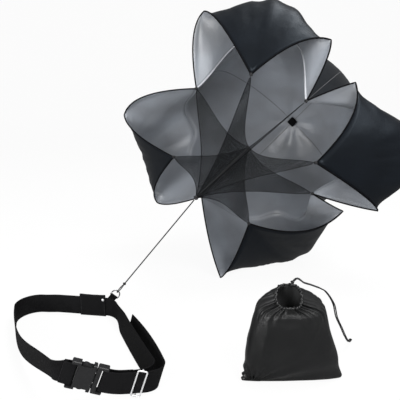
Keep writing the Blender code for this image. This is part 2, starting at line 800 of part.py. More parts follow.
def make_belt_webbing():
    """The long run of webbing, from the housing round to the slide adjuster."""
    start_x = housing_left - HOUSING_STRAP_LEAD
    sewn_end = front_place(start_x + SEWN_LENGTH, 0.0)
    start, end = front_place(start_x, 0.0), strap_place(belt_end, layer)
    stretches = (
        (LEFT_TURN_LENGTH, -LEFT_TURN),
        (LEFT_SIDE_LENGTH, -LEFT_SIDE_TURN),
        (BACK_LEFT_LENGTH, -BACK_LEFT_TURN),
        (BACK_RUN_LENGTH, -BACK_RUN_TURN),
        (BACK_RIGHT_LENGTH, -BACK_RIGHT_TURN),
        (RIGHT_SIDE_LENGTH, -RIGHT_SIDE_TURN),
        (FRONT_CORNER_LENGTH, -FRONT_CORNER_TURN),
    )
    path = walk(start.x, start.y, pi, stretches, WEB_STEP)
    along = distances_along(path)
    whole = along[-1]
    miss_x, miss_y = end.x - path[-1][0], end.y - path[-1][1]
    sleeve_low = back_start + SLEEVE_START - SLEEVE_TRAVEL
    sleeve_high = back_start + SLEEVE_START + SLEEVE_LENGTH
    right_start = back_start + BACK_RUN_LENGTH + BACK_RIGHT_LENGTH
    start_height = start.z - half_web * cos(tilt) * cos(spread_front) - FLOOR_FLAT
    stations = [(*sewn_end, pi, -tilt, spread_front)]
    for (x, y, heading), distance in zip(path, along):
        closing, left_over = distance / whole, whole - distance
        height = FLOOR_FLAT + start_height * (1.0 - ease(distance / LEFT_RAISE_REACH))
        off_sleeve = max(sleeve_low - distance, distance - sleeve_high)
        height += SLEEVE_RAISE * (1.0 - ease(off_sleeve / SLEEVE_RAISE_REACH))
        height += come_down(left_over) - FLOOR_FLAT
        lean = -tilt * (1.0 - ease(distance / LEAN_REACH))
        spread = radians(RIGHT_SPREAD) * ease((distance - right_start) / SPREAD_REACH)
        spread += (spread_front - spread) * (1.0 - ease(left_over / LEVEL_REACH))
        spread += spread_front * (1.0 - ease(distance / LEFT_RAISE_REACH))
        middle = height + half_web * cos(lean) * cos(spread)
        closed = math.atan2(sin(heading) + miss_y / whole, cos(heading) + miss_x / whole)
        heading += math.remainder(closed - heading, 2.0 * pi)
        stations.append((x + miss_x * closing, y + miss_y * closing, middle, heading, lean, spread))
    band_object("belt_webbing", stations, belt, webbing)
    return stations[1:], along


def make_tail_strap():
    """The outer run of webbing, from the adjuster round the right side to its cut end."""
    stretches = (
        (TAIL_START_LENGTH, TAIL_START_TURN),
        (TAIL_CORNER_LENGTH, TAIL_CORNER_TURN),
        (TAIL_SIDE_LENGTH, TAIL_SIDE_TURN),
    )
    start = strap_place(belt_end, -layer)
    path = walk(start.x, start.y, strap_heading, stretches, WEB_STEP)
    stations = []
    for (x, y, heading), distance in zip(path, distances_along(path)):
        past = max(0.0, distance - TAIL_START_LENGTH)
        spread = spread_front + (radians(TAIL_SPREAD) - spread_front) * ease(past / LEVEL_REACH)
        middle = come_down(past) + half_web * cos(spread)
        stations.append((x, y, middle, heading, 0.0, -spread))
    band_object("tail_strap", stations, belt, webbing)


belt_stations, belt_along = make_belt_webbing()
make_tail_strap()


def belt_place(distance):
    """The webbing's station at a distance from its start, between the two nearest."""
    index = max(i for i, value in enumerate(belt_along[:-1]) if value <= distance)
    share = (distance - belt_along[index]) / (belt_along[index + 1] - belt_along[index])
    near, far = belt_stations[index], belt_stations[index + 1]
    return [a + (b - a) * share for a, b in zip(near, far)]


sleeve_x, sleeve_y, sleeve_z, sleeve_heading = belt_place(
    back_start + SLEEVE_START + SLEEVE_LENGTH / 2
)[:4]
sleeve_matrix = Matrix.Translation((sleeve_x, sleeve_y, sleeve_z)) @ Matrix.Rotation(
    sleeve_heading, 4, "Z"
)
sleeve = new_frame("sleeve_frame", belt, sleeve_matrix)


def make_sleeve():
    """A flat sewn sleeve round the webbing, y to the outside, and what is fixed on it."""
    half_length = SLEEVE_LENGTH / 2
    inner_y = WEB_THICKNESS / 2 + SEAT_GAP
    inner_z = half_web + SEAT_GAP
    body = box_object(
        "belt_sleeve",
        (-half_length, -inner_y - SLEEVE_WALL, -inner_z - SLEEVE_WALL),
        (half_length, inner_y + SLEEVE_WALL, inner_z + SLEEVE_SLACK + SLEEVE_WALL),
        sleeve,
        webbing,
        SLEEVE_WALL / 2,
        1,
    )
    bore = box_object(
        "sleeve_cutter",
        (-half_length - CUT_OVERRUN, -inner_y, -inner_z),
        (half_length + CUT_OVERRUN, inner_y, inner_z + SLEEVE_SLACK),
        sleeve,
        webbing,
    )
    combine(body, bore, "DIFFERENCE")
    shape = bmesh.new()
    bmesh.ops.create_cone(
        shape,
        cap_ends=True,
        segments=12,
        radius1=RIVET_DIAMETER / 2,
        radius2=RIVET_DIAMETER / 4,
        depth=RIVET_HEIGHT,
    )
    mesh = bpy.data.meshes.new("sleeve_rivet")
    shape.to_mesh(mesh)
    shape.free()
    rivet = finish_object(bpy.data.objects.new("sleeve_rivet", mesh), sleeve, steel)
    rivet.rotation_euler = (pi / 2, 0.0, 0.0)
    rivet.location = (
        half_length - RIVET_INSET,
        -inner_y - SLEEVE_WALL - SEAT_GAP - RIVET_HEIGHT / 2,
        half_web - RIVET_INSET,
    )


make_sleeve()

ring_eye = Vector((RING_FROM_SLEEVE_X, RING_FROM_SLEEVE_Y, RING_FROM_SLEEVE_Z))
ring_matrix = (
    belt_plan
    @ sleeve_matrix
    @ Matrix.Translation(ring_eye)
    @ Matrix.Rotation(radians(RING_TURN), 4, "Z")
    @ Matrix.Rotation(radians(-RING_RISE), 4, "Y")
)
ring = new_frame("ring_frame", layout, ring_matrix)


def make_anchor():
    """A strip sewn along the sleeve's outer face, which bends away to the tab."""
    strip_y = WEB_THICKNESS / 2 + SEAT_GAP + SLEEVE_WALL + SEAT_GAP + WEB_THICKNESS / 2
    turn = radians(RING_TURN)
    bend = (ring_eye.y - strip_y) * turn / (1.0 - cos(turn))
    bend_start = ring_eye.x - bend * sin(turn) / turn
    stretches = ((ANCHOR_LENGTH - bend, 0.0), (bend - SEAT_GAP, math.degrees(turn)))
    path = walk(bend_start - ANCHOR_LENGTH + bend, strip_y, 0.0, stretches, WEB_STEP)
    stations = [(x, y, ring_eye.z, heading, 0.0, 0.0) for x, y, heading in path]
    band_object("anchor_strip", stations, sleeve, webbing, ANCHOR_HEIGHT)


def make_tab():
    """The webbing tab that flexes at its upright root and is folded round the ring's bar."""
    half_width, half_thickness = TAB_WIDTH / 2, TAB_THICKNESS / 2
    bore = RING_WIRE / 2 + SEAT_GAP
    around = bore + TAB_WRAP
    profile = [(-TAB_WIDTH, -half_thickness), (TAB_LENGTH - 2 * around, -half_thickness)]
    for step in range(9):
        angle = radians(-120.0 + 240.0 * step / 8)
        profile.append((TAB_LENGTH + around * cos(angle), around * sin(angle)))
    profile += [(TAB_LENGTH - 2 * around, half_thickness), (-TAB_WIDTH, half_thickness)]
    vertices = [(x, y, z) for z in (-half_width, half_width) for x, y in profile]
    count = len(profile)
    faces = [tuple(range(count)), tuple(range(count, 2 * count))]
    for corner in range(count):
        following = (corner + 1) % count
        faces.append((corner, following, count + following, count + corner))
    tab = mesh_object("tether_tab", vertices, faces, ring, webbing)
    hole = tube_object(
        "tab_bore_cutter",
        [(TAB_LENGTH, 0.0, -half_width - CUT_OVERRUN), (TAB_LENGTH, 0.0, half_width + CUT_OVERRUN)],
        2 * bore,
        ring,
        webbing,
        2,
    )
    hole_mesh = bpy.data.meshes.new_from_object(hole)
    bpy.data.objects.remove(hole)
    hole = finish_object(bpy.data.objects.new("tab_bore_cutter", hole_mesh), ring, webbing, 0.0)
    combine(tab, hole, "DIFFERENCE")
    root = box_object(
        "tab_root_cutter",
        (-2 * TAB_WIDTH, -TAB_WIDTH, -2 * TAB_WIDTH),
        (0.0, TAB_WIDTH, 2 * TAB_WIDTH),
        ring,
        webbing,
    )
    root.rotation_euler = (0.0, radians(RING_RISE), 0.0)
    combine(tab, root, "DIFFERENCE")


def make_ring():
    """The steel ring: a straight bar through the tab and a round bow."""
    half_width = (RING_WIDTH - RING_WIRE) / 2
    reach = RING_REACH - RING_WIRE
    points = [(TAB_LENGTH, 0.0, half_width - RING_CORNER)]
    points.append((TAB_LENGTH + RING_CORNER / 4, 0.0, half_width - RING_CORNER / 4))
    for step in range(1, RING_POINTS):
        angle = radians(90.0 - 180.0 * step / RING_POINTS)
        across = math.copysign(abs(sin(angle)) ** 0.8, sin(angle))
        points.append((TAB_LENGTH + reach * cos(angle) ** 0.8, 0.0, half_width * across))
    points.append((TAB_LENGTH + RING_CORNER / 4, 0.0, -half_width + RING_CORNER / 4))
    points.append((TAB_LENGTH, 0.0, -half_width + RING_CORNER))
    tube_object("d_ring", points, RING_WIRE, ring, steel, 1, cyclic=True)


def make_tether_loop():
    """The cord loop that hangs on the ring's bow."""
    bow = TAB_LENGTH + RING_REACH - RING_WIRE
    inside = bow - RING_WIRE / 2 - SEAT_GAP - TETHER_LOOP_CORD / 2
    outside = TETHER_KNOT_X - TETHER_KNOT / 2 - SEAT_GAP - TETHER_LOOP_CORD / 2
    middle, reach = (inside + outside) / 2, (outside - inside) / 2
    half_width = (TETHER_LOOP_WIDTH - TETHER_LOOP_CORD) / 2
    points = []
    for step in range(20):
        angle = 2.0 * pi * step / 20
        across = math.copysign(abs(sin(angle)) ** 0.6, sin(angle))
        points.append((middle + reach * cos(angle), half_width * across, 0.0))
    tube_object("tether_loop", points, TETHER_LOOP_CORD, ring, cord, 1, cyclic=True)


make_anchor()
make_tab()
make_ring()
make_tether_loop()


# Canopy
canopy_yaw, canopy_slope = radians(CANOPY_YAW), radians(CANOPY_SLOPE)
back_axis = Vector(
    (sin(canopy_yaw) * cos(canopy_slope), cos(canopy_yaw) * cos(canopy_slope), sin(canopy_slope))
)
level_right = Vector((cos(canopy_yaw), -sin(canopy_yaw), 0.0))
level_up = level_right.cross(back_axis)
roll = radians(CANOPY_ROLL)
canopy_right = cos(roll) * level_right + sin(roll) * level_up
canopy_up = cos(roll) * level_up - sin(roll) * level_right
canopy_matrix = Matrix.Translation((CANOPY_X, CANOPY_Y, CANOPY_Z)) @ Matrix(
    (canopy_right, canopy_up, -back_axis)
).transposed().to_4x4()
canopy = new_frame("canopy_frame", layout, canopy_matrix)


def ring_point(angle, radius, depth):
    """A point of the canopy at an angle and a radius round its axis, behind the ties by depth."""
    return Vector((radius * cos(radians(angle)), radius * sin(radians(angle)), -depth))


ties = {
    name: ring_point(angle, radius_share * TIE_RADIUS, depth_share * CORNER_DEPTH)
    for name, (angle, radius_share, depth_share) in TIE_SHARES.items()
}
bridle_point = Vector((BRIDLE_X, BRIDLE_Y, BRIDLE_Z))
core_back = Vector((0.0, 0.0, 0.0))


def arc_through(start, middle, end, share):
    """A point of the smooth arc from start to end that passes through middle half way."""
    control = 2 * middle - (start + end) / 2
    back = 1.0 - share
    return back * back * start + 2 * share * back * control + share * share * end


def outward(point):
    """The direction away from the canopy's axis."""
    return Vector((point.x, point.y, 0.0)).normalized()


def bowed(start, end, bow_share, share):
    """A point between two others on a line bowed away from the canopy's axis."""
    middle = (start + end) / 2
    middle += outward(middle) * bow_share * (end - start).length
    return arc_through(start, middle, end, share)


def root_point(first, second, share):
    """A point of the seam between the centre panel and a petal."""
    angle_first, angle_second = TIE_SHARES[first][0], TIE_SHARES[second][0]
    turn = (angle_second - angle_first) % 360.0
    middle = ring_point(angle_first + turn / 2, ROOT_RADIUS, ROOT_DEPTH)
    point = arc_through(ties[first], middle, ties[second], share)
    return point + outward(point) * ROOT_SWELL * sin(2.0 * pi * share) ** 2


class Petal:
    """One petal's outline and surface."""

    def __init__(self, name):
        shares = PETAL_SHARES[name]
        self.first, self.middle, self.second = shares["ties"]
        self.corners = [
            ring_point(angle, radius_share * CORNER_RADIUS, depth_share * CORNER_DEPTH)
            for angle, radius_share, depth_share in shares["corners"]
        ]
        self.bow_shares = shares["side_bows"]
        self.ridge = shares["ridge"] * RIDGE_HEIGHT
        angle, radius_share, depth_share = shares["fold"]
        self.fold = ring_point(angle, radius_share * FOLD_RADIUS, depth_share * FOLD_DEPTH)
        self.swell = self.fold - (self.side(0, 0.5) + self.side(1, 0.5)) / 2
        self.corner_swells = [self.corner_swell(number) for number in (0, 1)]

    def corner_swell(self, number):
        """The swell next to a corner, back from the plane of its two hems and outwards."""
        corner = self.corners[number]
        along_side = self.side(number, 1.0 - CORNER_REACH_SHARE) - corner
        along_hem = self.hem((CORNER_REACH_SHARE - 1.0) * (1 - 2 * number)) - corner
        square = along_side.cross(along_hem).normalized()
        away = square * math.copysign(1.0, -square.z) + outward(corner) * CORNER_SPLAY_SHARE
        return away.normalized() * CORNER_SWELL

    def side(self, number, share):
        """A point of a side hem, from the notch to the corner."""
        tie = ties[(self.first, self.second)[number]]
        return bowed(tie, self.corners[number], self.bow_shares[number], share)

    def hem(self, across):
        """A point of the outer hem, across running from -1 to 1."""
        corner = self.corners[0 if across < 0.0 else 1]
        return bowed(ties[self.middle], corner, HEM_BOW_SHARE, abs(across))

    def surface(self, across, along):
        """A point of the petal: across from -1 to 1, along from 0 at its root to 1 at its hem."""
        root = root_point(self.first, self.second, (across + 1.0) / 2)
        hem = self.hem(across)
        side_share = (across + 1.0) / 2
        sides = self.side(0, 0.5) * (1.0 - side_share) + self.side(1, 0.5) * side_share
        corner_swell = self.corner_swells[0 if across < 0.0 else 1]
        swell = self.swell * (1.0 - across**4) + corner_swell * across**4
        middle = sides + swell * max(0.0, 1.0 - across * across) ** FOLD_ROUNDNESS_SHARE
        point = arc_through(root, middle, hem, along)
        ripple = sin(pi * along) ** 2 * (1.0 - across**4)
        wave = FOLD_HEIGHT * ripple * sin(pi * FOLD_COUNT * across + 3.0 * along)
        wave += self.ridge * max(0.0, 1.0 - abs(across) / RIDGE_WIDTH_SHARE) * sin(pi * along)
        return point + outward(point) * wave


def nearest_on_line(point, line):
    """The place on a line of points that is nearest to a point."""
    best = line[0]
    for start, end in zip(line, line[1:]):
        span = end - start
        share = max(0.0, min(1.0, (point - start).dot(span) / span.length_squared))
        place = start + span * share
        if (point - place).length < (point - best).length:
            best = place
    return best


def kept_off_lines(point, lines, distance):
    """A point pushed away from each line until it is at least distance from all of them."""
    for _ in range(3):
        for line in lines:
            place = nearest_on_line(point, line)
            away = point - place
            if away.length < distance:
                point = place + away.normalized() * distance
    return point


def drawn_clear(point, target, lines, distance):
    """A point moved towards a target until it is at least distance from all the lines."""
    step = (target - point).normalized() * distance / CLEAR_STEPS
    for _ in range(CLEAR_STEPS**2):
        if all((point - nearest_on_line(point, line)).length >= distance for line in lines):
            break
        point = point + step
    return point


def kept_clear(point, centres, distance):
    """A point pushed out of a ball round each centre."""
    for centre in centres:
        away = point - centre
        if away.length < distance:
            point = centre + away.normalized() * distance
    return point


def kept_above_floor(point, half_thickness):
    """A point of the canopy, lifted on to the floor where it would sink in."""
    placed = canopy_matrix @ point
    placed.z = max(placed.z, FLOOR_FLAT + half_thickness)
    return canopy_matrix.inverted() @ placed


def drawn_in(grid, margin):
    """A grid of points with its border moved inwards by a margin, square to the border."""
    last_row, last_column = len(grid) - 1, len(grid[0]) - 1
    result = [list(line) for line in grid]
    for row in range(last_row + 1):
        for column in range(last_column + 1):
            inner_row = min(max(row, 1), last_row - 1)
            inner_column = min(max(column, 1), last_column - 1)
            inwards = grid[inner_row][inner_column] - grid[row][column]
            reach = margin
            if (inner_row, inner_column) == (row, column):
                continue
            if inner_row == row:
                border = grid[row + 1][column] - grid[row - 1][column]
                inwards -= border * inwards.dot(border) / border.length_squared
            elif inner_column == column:
                border = grid[row][column + 1] - grid[row][column - 1]
                inwards -= border * inwards.dot(border) / border.length_squared
            else:
                reach = math.sqrt(2.0) * margin
            result[row][column] = grid[row][column] + inwards.normalized() * reach
    return result


def seam_line(first, second):
    """The points of a seam between the centre panel and a petal."""
    return [root_point(first, second, i / SEAM_POINTS) for i in range(SEAM_POINTS + 1)]


def make_petal(name):
    """A petal's fabric and the bound hem along its two halves."""
    petal = Petal(name)
    knots = [ties[tie] for tie in (petal.first, petal.middle, petal.second)]
    margin = HEM_DIAMETER / 2 + HEM_CLEARANCE + FABRIC_THICKNESS / 2
    clear = KNOB_DIAMETER / 2 + SEAT_GAP + FABRIC_THICKNESS
    halves = PETAL_COLUMNS // 2
    across_shares = [
        (1.0 - EVEN_SHARE) * sin(pi / 2 * column / halves) + EVEN_SHARE * column / halves
        for column in range(-halves, halves + 1)
    ]
    hems = []
    for number in (0, 1):
        side = [petal.side(number, i / PETAL_ROWS) for i in range(PETAL_ROWS)]
        half = across_shares[: halves + 1] if number == 0 else across_shares[: halves - 1 : -1]
        hems.append(side + [petal.hem(share) for share in half])
    lines = [*hems, seam_line(petal.first, petal.second)]
    grid = [
        [petal.surface(share, row / PETAL_ROWS) for share in across_shares]
        for row in range(PETAL_ROWS + 1)
    ]
    grid = drawn_in(grid, margin)
    for row, line in enumerate(grid):
        for column, point in enumerate(line):
            near_corner = row >= PETAL_ROWS - 2 and min(column, PETAL_COLUMNS - column) <= 2
            distance = margin * CORNER_MARGIN_SHARE if near_corner else margin - SEAT_GAP
            point = kept_clear(drawn_clear(point, petal.fold, lines, distance), knots, clear)
            line[column] = kept_above_floor(point, FABRIC_THICKNESS / 2)
    sheet_object(f"{name}_petal", grid, FABRIC_THICKNESS, canopy, canopy_fabric)
    trim = KNOB_DIAMETER / 2 + SEAT_GAP
    for hem, half in zip(hems, ("first", "second")):
        line = [kept_above_floor(point, HEM_DIAMETER / 2) for point in trimmed(hem, trim, trim)]
        tube_object(f"{name}_hem_{half}", line, HEM_DIAMETER, canopy, canopy_fabric)


def flat_panel_point(across, up):
    """A point of the ruled surface between the panel's seams, across and up from -1 to 1."""
    upper_right, upper_left, lower_left, lower_right = (ties[name] for name in PANEL_CORNERS)
    right = root_point("lower_right", "upper_right", (up + 1.0) / 2)
    left = root_point("upper_left", "lower_left", (1.0 - up) / 2)
    top = root_point("upper_right", "upper_left", (1.0 - across) / 2)
    bottom = root_point("lower_left", "lower_right", (across + 1.0) / 2)
    a, b = (across + 1.0) / 2, (up + 1.0) / 2
    ruled = left * (1.0 - a) + right * a + bottom * (1.0 - b) + top * b
    corners = (
        lower_left * (1.0 - a) * (1.0 - b)
        + lower_right * a * (1.0 - b)
        + upper_left * (1.0 - a) * b
        + upper_right * a * b
    )
    return ruled - corners


def panel_point(across, up):
    """A point of the centre panel, which swells back to its apex."""
    lift = Vector((APEX_X, APEX_Y, -APEX_DEPTH)) - flat_panel_point(0.0, 0.0)
    inside = (1.0 - across**2) * (1.0 - up**2)
    point = flat_panel_point(across, up) + lift * inside
    corner_swell = CORNER_PEAK_SHARE * PANEL_SWELL * abs(across * up) * inside
    return point + outward(point) * corner_swell


def make_centre_panel():
    """The square panel at the back and its seams to the four petals."""
    margin = HEM_DIAMETER / 2 + SEAT_GAP + FABRIC_THICKNESS / 2
    clear = KNOB_DIAMETER / 2 + SEAT_GAP + FABRIC_THICKNESS
    knots = [ties[name] for name in PANEL_CORNERS]
    lines = [seam_line(PANEL_CORNERS[i - 1], PANEL_CORNERS[i]) for i in range(len(knots))]
    places = [2.0 * step / PANEL_STEPS - 1.0 for step in range(PANEL_STEPS + 1)]
    grid = drawn_in([[panel_point(across, up) for across in places] for up in places], margin)
    for line in grid:
        for column, point in enumerate(line):
            line[column] = kept_clear(kept_off_lines(point, lines, margin), knots, clear)
    sheet_object("centre_panel", grid, FABRIC_THICKNESS, canopy, canopy_fabric)
    trim = KNOB_DIAMETER / 2 + SEAT_GAP
    for number, name in enumerate(("right", "top", "left", "bottom")):
        first = PANEL_CORNERS[number - 1]
        second = PANEL_CORNERS[number]
        line = trimmed(seam_line(first, second), trim, trim)
        tube_object(f"{name}_seam", line, HEM_DIAMETER, canopy, canopy_fabric)


def make_apex_patch():
    """The diamond patch inside the apex, lying on the panel's four middle facets."""
    facet = 2.0 / PANEL_STEPS
    apex = panel_point(0.0, 0.0)
    lift = Vector((0.0, 0.0, (FABRIC_THICKNESS + PATCH_THICKNESS) / 2 + 2 * SEAT_GAP))
    points = [apex + lift]
    for across, up in ((1, 0), (0, 1), (-1, 0), (0, -1)):
        toward = panel_point(across * facet, up * facet) - apex
        points.append(apex + lift + toward.normalized() * PATCH_SIZE / 2)
    faces = [(0, 1, 2), (0, 2, 3), (0, 3, 4), (0, 4, 1)]
    patch = mesh_object("apex_patch", points, faces, canopy, canopy_fabric, smooth=60.0)
    thicken(patch, PATCH_THICKNESS)


def make_net_panel(name):
    """One triangular net panel, from its tie to the corded seam between the other two corners."""
    tie = ties[name]
    start = (KNOB_DIAMETER / 2 + SEAT_GAP + NET_THICKNESS) / (core_back - tie).length
    core = bridle_point - core_back
    grid = []
    for row in range(NET_ROWS + 1):
        line = []
        for column in range(NET_COLUMNS + 1):
            out = start + (1.0 - start) * row / NET_ROWS
            scoop = NET_SCOOP_SHARE * 4.0 * out * (1.0 - out)
            place = scoop + (1.0 - 2.0 * scoop) * column / NET_COLUMNS
            foot = core_back + core * place
            away = tie - foot
            away -= core * (away.dot(core) / core.length_squared)
            stop = foot + away.normalized() * (CORE_DIAMETER / 2 + SEAT_GAP + NET_THICKNESS / 2)
            point = tie + (stop - tie) * out
            clear = BRIDLE_DIAMETER / 2 + SEAT_GAP + NET_THICKNESS
            line.append(kept_clear(point, [bridle_point], clear))
        grid.append(line)
    sheet_object(f"{name}_net", grid, NET_THICKNESS, canopy, net)


for petal_name in PETAL_SHARES:
    make_petal(petal_name)
make_centre_panel()
make_apex_patch()
for tie_name in TIE_SHARES:
    make_net_panel(tie_name)
    ball_object(f"{tie_name}_tie", ties[tie_name], KNOB_DIAMETER, canopy, webbing, 1)
core_direction = (bridle_point - core_back).normalized()
tube_object(
    "net_core",
    [
        core_back + core_direction * (bridle_point - core_back).length * step / 8
        - core_direction * (BRIDLE_DIAMETER / 2 + SEAT_GAP) * step / 8
        for step in range(9)
    ],
    CORE_DIAMETER,
    canopy,
    cord,
)
ball_object("bridle_knot", bridle_point, BRIDLE_DIAMETER, canopy, cord, 2)


# Tether, straight from the ring's knot to the canopy's bridle knot
def make_tether():
    """The tether with the knot and the loop that hold it on the ring."""
    bridle = ring_matrix.inverted() @ canopy_matrix @ bridle_point
    knot = Vector((TETHER_KNOT_X, 0.0, 0.0))
    direction = (bridle - knot).normalized()
    start = knot + direction * (TETHER_KNOT / 2 + SEAT_GAP)
    end = bridle - direction * (BRIDLE_DIAMETER / 2 + SEAT_GAP)
    points = [start + (end - start) * i / (TETHER_POINTS - 1) for i in range(TETHER_POINTS)]
    tube_object("tether", points, TETHER_DIAMETER, ring, cord, 2)
    ball_object("tether_knot", knot, TETHER_KNOT, ring, cord, 2)


make_tether()


# Carry bag
bag = new_frame(
    "bag_frame",
    layout,
    Matrix.Translation((BAG_X, BAG_Y, 0.0)) @ Matrix.Rotation(radians(BAG_YAW), 4, "Z"),
)


def bag_ring(shares, inset, floor):
    """One ring of the bag's wall, drawn in by inset and kept above floor."""
    height_share, width_share, depth_share, ring_tilt, shift_share, side_share = shares
    half_width = width_share * BAG_HALF_WIDTH - inset
    half_depth = depth_share * BAG_HALF_DEPTH - inset
    middle = Vector(
        (
            side_share * BAG_HALF_WIDTH,
            shift_share * BAG_HALF_DEPTH,
            max(height_share * BAG_HEIGHT, floor),
        )
    )
    points = []
    for side in range(BAG_SIDES):
        angle = 2.0 * pi * side / BAG_SIDES
        x = half_width * math.copysign(abs(cos(angle)) ** BAG_SQUARENESS, cos(angle))
        y = half_depth * math.copysign(abs(sin(angle)) ** BAG_SQUARENESS, sin(angle))
        lean = radians(ring_tilt)
        points.append(middle + Vector((x, y * cos(lean), y * sin(lean))))
    return points


def make_bag():
    """The bag's fabric as a thin-walled pouch, open at its gathered mouth."""
    outer = [bag_ring(shares, 0.0, FLOOR_FLAT) for shares in BAG_RING_SHARES]
    inner = [
        bag_ring(shares, BAG_WALL, FLOOR_FLAT + BAG_FLOOR * (1 + number))
        for number, shares in enumerate(BAG_RING_SHARES)
        if number != 1
    ]
    rings = outer + inner[::-1]
    vertices = [point for ring_points in rings for point in ring_points]
    faces = []
    for level in range(len(rings) - 1):
        for side in range(BAG_SIDES):
            following = (side + 1) % BAG_SIDES
            low, high = level * BAG_SIDES, (level + 1) * BAG_SIDES
            faces.append((low + side, low + following, high + following, high + side))
    last = (len(rings) - 1) * BAG_SIDES
    faces.append(tuple(range(BAG_SIDES)))
    faces.append(tuple(range(last, last + BAG_SIDES)))
    mesh_object("bag_body", vertices, faces, bag, bag_fabric, smooth=50.0)
    return outer[-1]


def make_bag_hem(rim):
    """The rolled channel round the mouth that the drawstring runs in."""
    middle = sum(rim, Vector((0.0, 0.0, 0.0))) / len(rim)
    mouth_tilt = radians(BAG_RING_SHARES[-1][3])
    up = Vector((0.0, -sin(mouth_tilt), cos(mouth_tilt)))
    lift = up * (BAG_HEM_DIAMETER / 2 + SEAT_GAP)
    tube_object("bag_hem", [point + lift for point in rim], BAG_HEM_DIAMETER, bag, bag_fabric, 1, True)
    return middle, up


def make_drawstring():
    """Two strands side by side, from the neck's knot over the shoulder to the end knot."""
    route = smooth_route(DRAWSTRING_ROUTE, DRAWSTRING_POINTS)
    for name, side in (("near", -1.0), ("far", 1.0)):
        strand = []
        for index, point in enumerate(route):
            before, after = route[max(index - 1, 0)], route[min(index + 1, len(route) - 1)]
            along = (after - before).normalized()
            across = along.cross(Vector((0.0, 0.0, 1.0)))
            across = across.normalized() * side * STRAND_SPACING / 2
            strand.append(point + across)
        tube_object(f"drawstring_{name}", strand, DRAWSTRING_DIAMETER, layout, cord)
    start, end = route[0], route[-1]
    away = (route[0] - route[1]).normalized()
    seat = DRAWSTRING_KNOT / 2 + SEAT_GAP
    ball_object("neck_knot", start + away * seat, DRAWSTRING_KNOT, layout, cord, 2)
    away = (route[-1] - route[-2]).normalized()
    ball_object("end_knot", end + away * seat, DRAWSTRING_KNOT, layout, cord, 2)


make_bag_hem(make_bag())
make_drawstring()
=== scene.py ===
"""Looks of a speed parachute: its canopy, tether, waist belt and carry bag.

Every sub-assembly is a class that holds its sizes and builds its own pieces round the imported
frame. Lengths are metres and angles degrees unless a name says otherwise.
"""

import json
import logging
import math
from collections.abc import Callable, Sequence
from dataclasses import dataclass
from enum import Enum
from math import cos, pi, radians, sin, tan

import bmesh
import bpy
from mathutils import Matrix, Vector, noise

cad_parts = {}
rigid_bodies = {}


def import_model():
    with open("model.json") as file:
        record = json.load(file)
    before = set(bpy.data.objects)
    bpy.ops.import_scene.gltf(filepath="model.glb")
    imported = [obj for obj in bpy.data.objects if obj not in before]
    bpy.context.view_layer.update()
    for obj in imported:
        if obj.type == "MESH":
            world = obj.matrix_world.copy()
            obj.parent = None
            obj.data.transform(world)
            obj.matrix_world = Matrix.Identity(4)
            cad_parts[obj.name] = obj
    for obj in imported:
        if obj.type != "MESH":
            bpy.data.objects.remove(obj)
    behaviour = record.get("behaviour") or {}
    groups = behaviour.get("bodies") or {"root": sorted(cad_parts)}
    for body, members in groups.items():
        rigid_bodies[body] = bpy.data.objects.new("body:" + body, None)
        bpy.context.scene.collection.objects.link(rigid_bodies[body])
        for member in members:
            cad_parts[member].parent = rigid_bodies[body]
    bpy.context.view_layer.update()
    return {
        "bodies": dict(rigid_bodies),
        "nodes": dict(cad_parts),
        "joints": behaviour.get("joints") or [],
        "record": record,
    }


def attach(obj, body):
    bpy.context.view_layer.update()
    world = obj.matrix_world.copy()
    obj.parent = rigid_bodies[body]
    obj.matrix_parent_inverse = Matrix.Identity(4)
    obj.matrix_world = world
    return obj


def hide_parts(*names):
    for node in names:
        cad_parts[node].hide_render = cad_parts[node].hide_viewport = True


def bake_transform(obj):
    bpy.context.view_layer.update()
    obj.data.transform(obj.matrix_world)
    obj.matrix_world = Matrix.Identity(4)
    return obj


LOG = logging.getLogger("speed_parachute")
STRIP_MAP = "strip"  # the map that holds lengths along and across a piece

Item = bpy.types.Object
Socket = bpy.types.NodeSocket
Tree = bpy.types.NodeTree
Colour = tuple[float, float, float]
Ring = list[Vector]
Section = tuple[Vector, Vector, Vector]  # a strap's middle, rise and run
SewnLine = list[tuple[Vector, Vector]]  # places on a surface, each with its outward direction


class Body(Enum):
    """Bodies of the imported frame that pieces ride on."""

    BELT = "belt"
    PLUG = "plug"
    ADJUSTER = "adjuster"
    SLEEVE = "sleeve"
    TAB = "tab"
    CANOPY = "canopy"
    BAG = "bag"


class Slot(Enum):
    """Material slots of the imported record."""

    CANOPY = "canopy_fabric"
    NET = "net"
    WEBBING = "webbing"
    PLASTIC = "buckle_plastic"
    STEEL = "steel"
    CORD = "cord"
    BAG = "bag_fabric"


def ease(value: float) -> float:
    """Return a smooth step from 0 to 1."""
    value = min(1.0, max(0.0, value))
    return value * value * (3.0 - 2.0 * value)


def turned(angle: float, axis: str) -> Matrix:
    """Return a turn by an angle in degrees about a named axis."""
    return Matrix.Rotation(radians(angle), 4, axis)


def squared(value: float, power: float) -> float:
    """Return a sine or cosine raised to a power below one, which squares a round shape."""
    return math.copysign(abs(value) ** power, value)


def smooth_between(values: Sequence, share: float) -> float | Vector:
    """Return a place between the middle two of four values, on a smooth curve through them."""
    a, b, c, d = values
    bend = (2 * a - 5 * b + 4 * c - d) * share**2 + (3 * b - a - 3 * c + d) * share**3
    return (2 * b + (c - a) * share + bend) / 2


def length_of(points: Sequence[Vector]) -> float:
    """Return the length of a line of points."""
    return sum((b - a).length for a, b in zip(points, points[1:]))


def link(name: str, data: bpy.types.ID) -> Item:
    """Return a new object with its data, linked to the scene."""
    item = bpy.data.objects.new(name, data)
    bpy.context.scene.collection.objects.link(item)
    return item


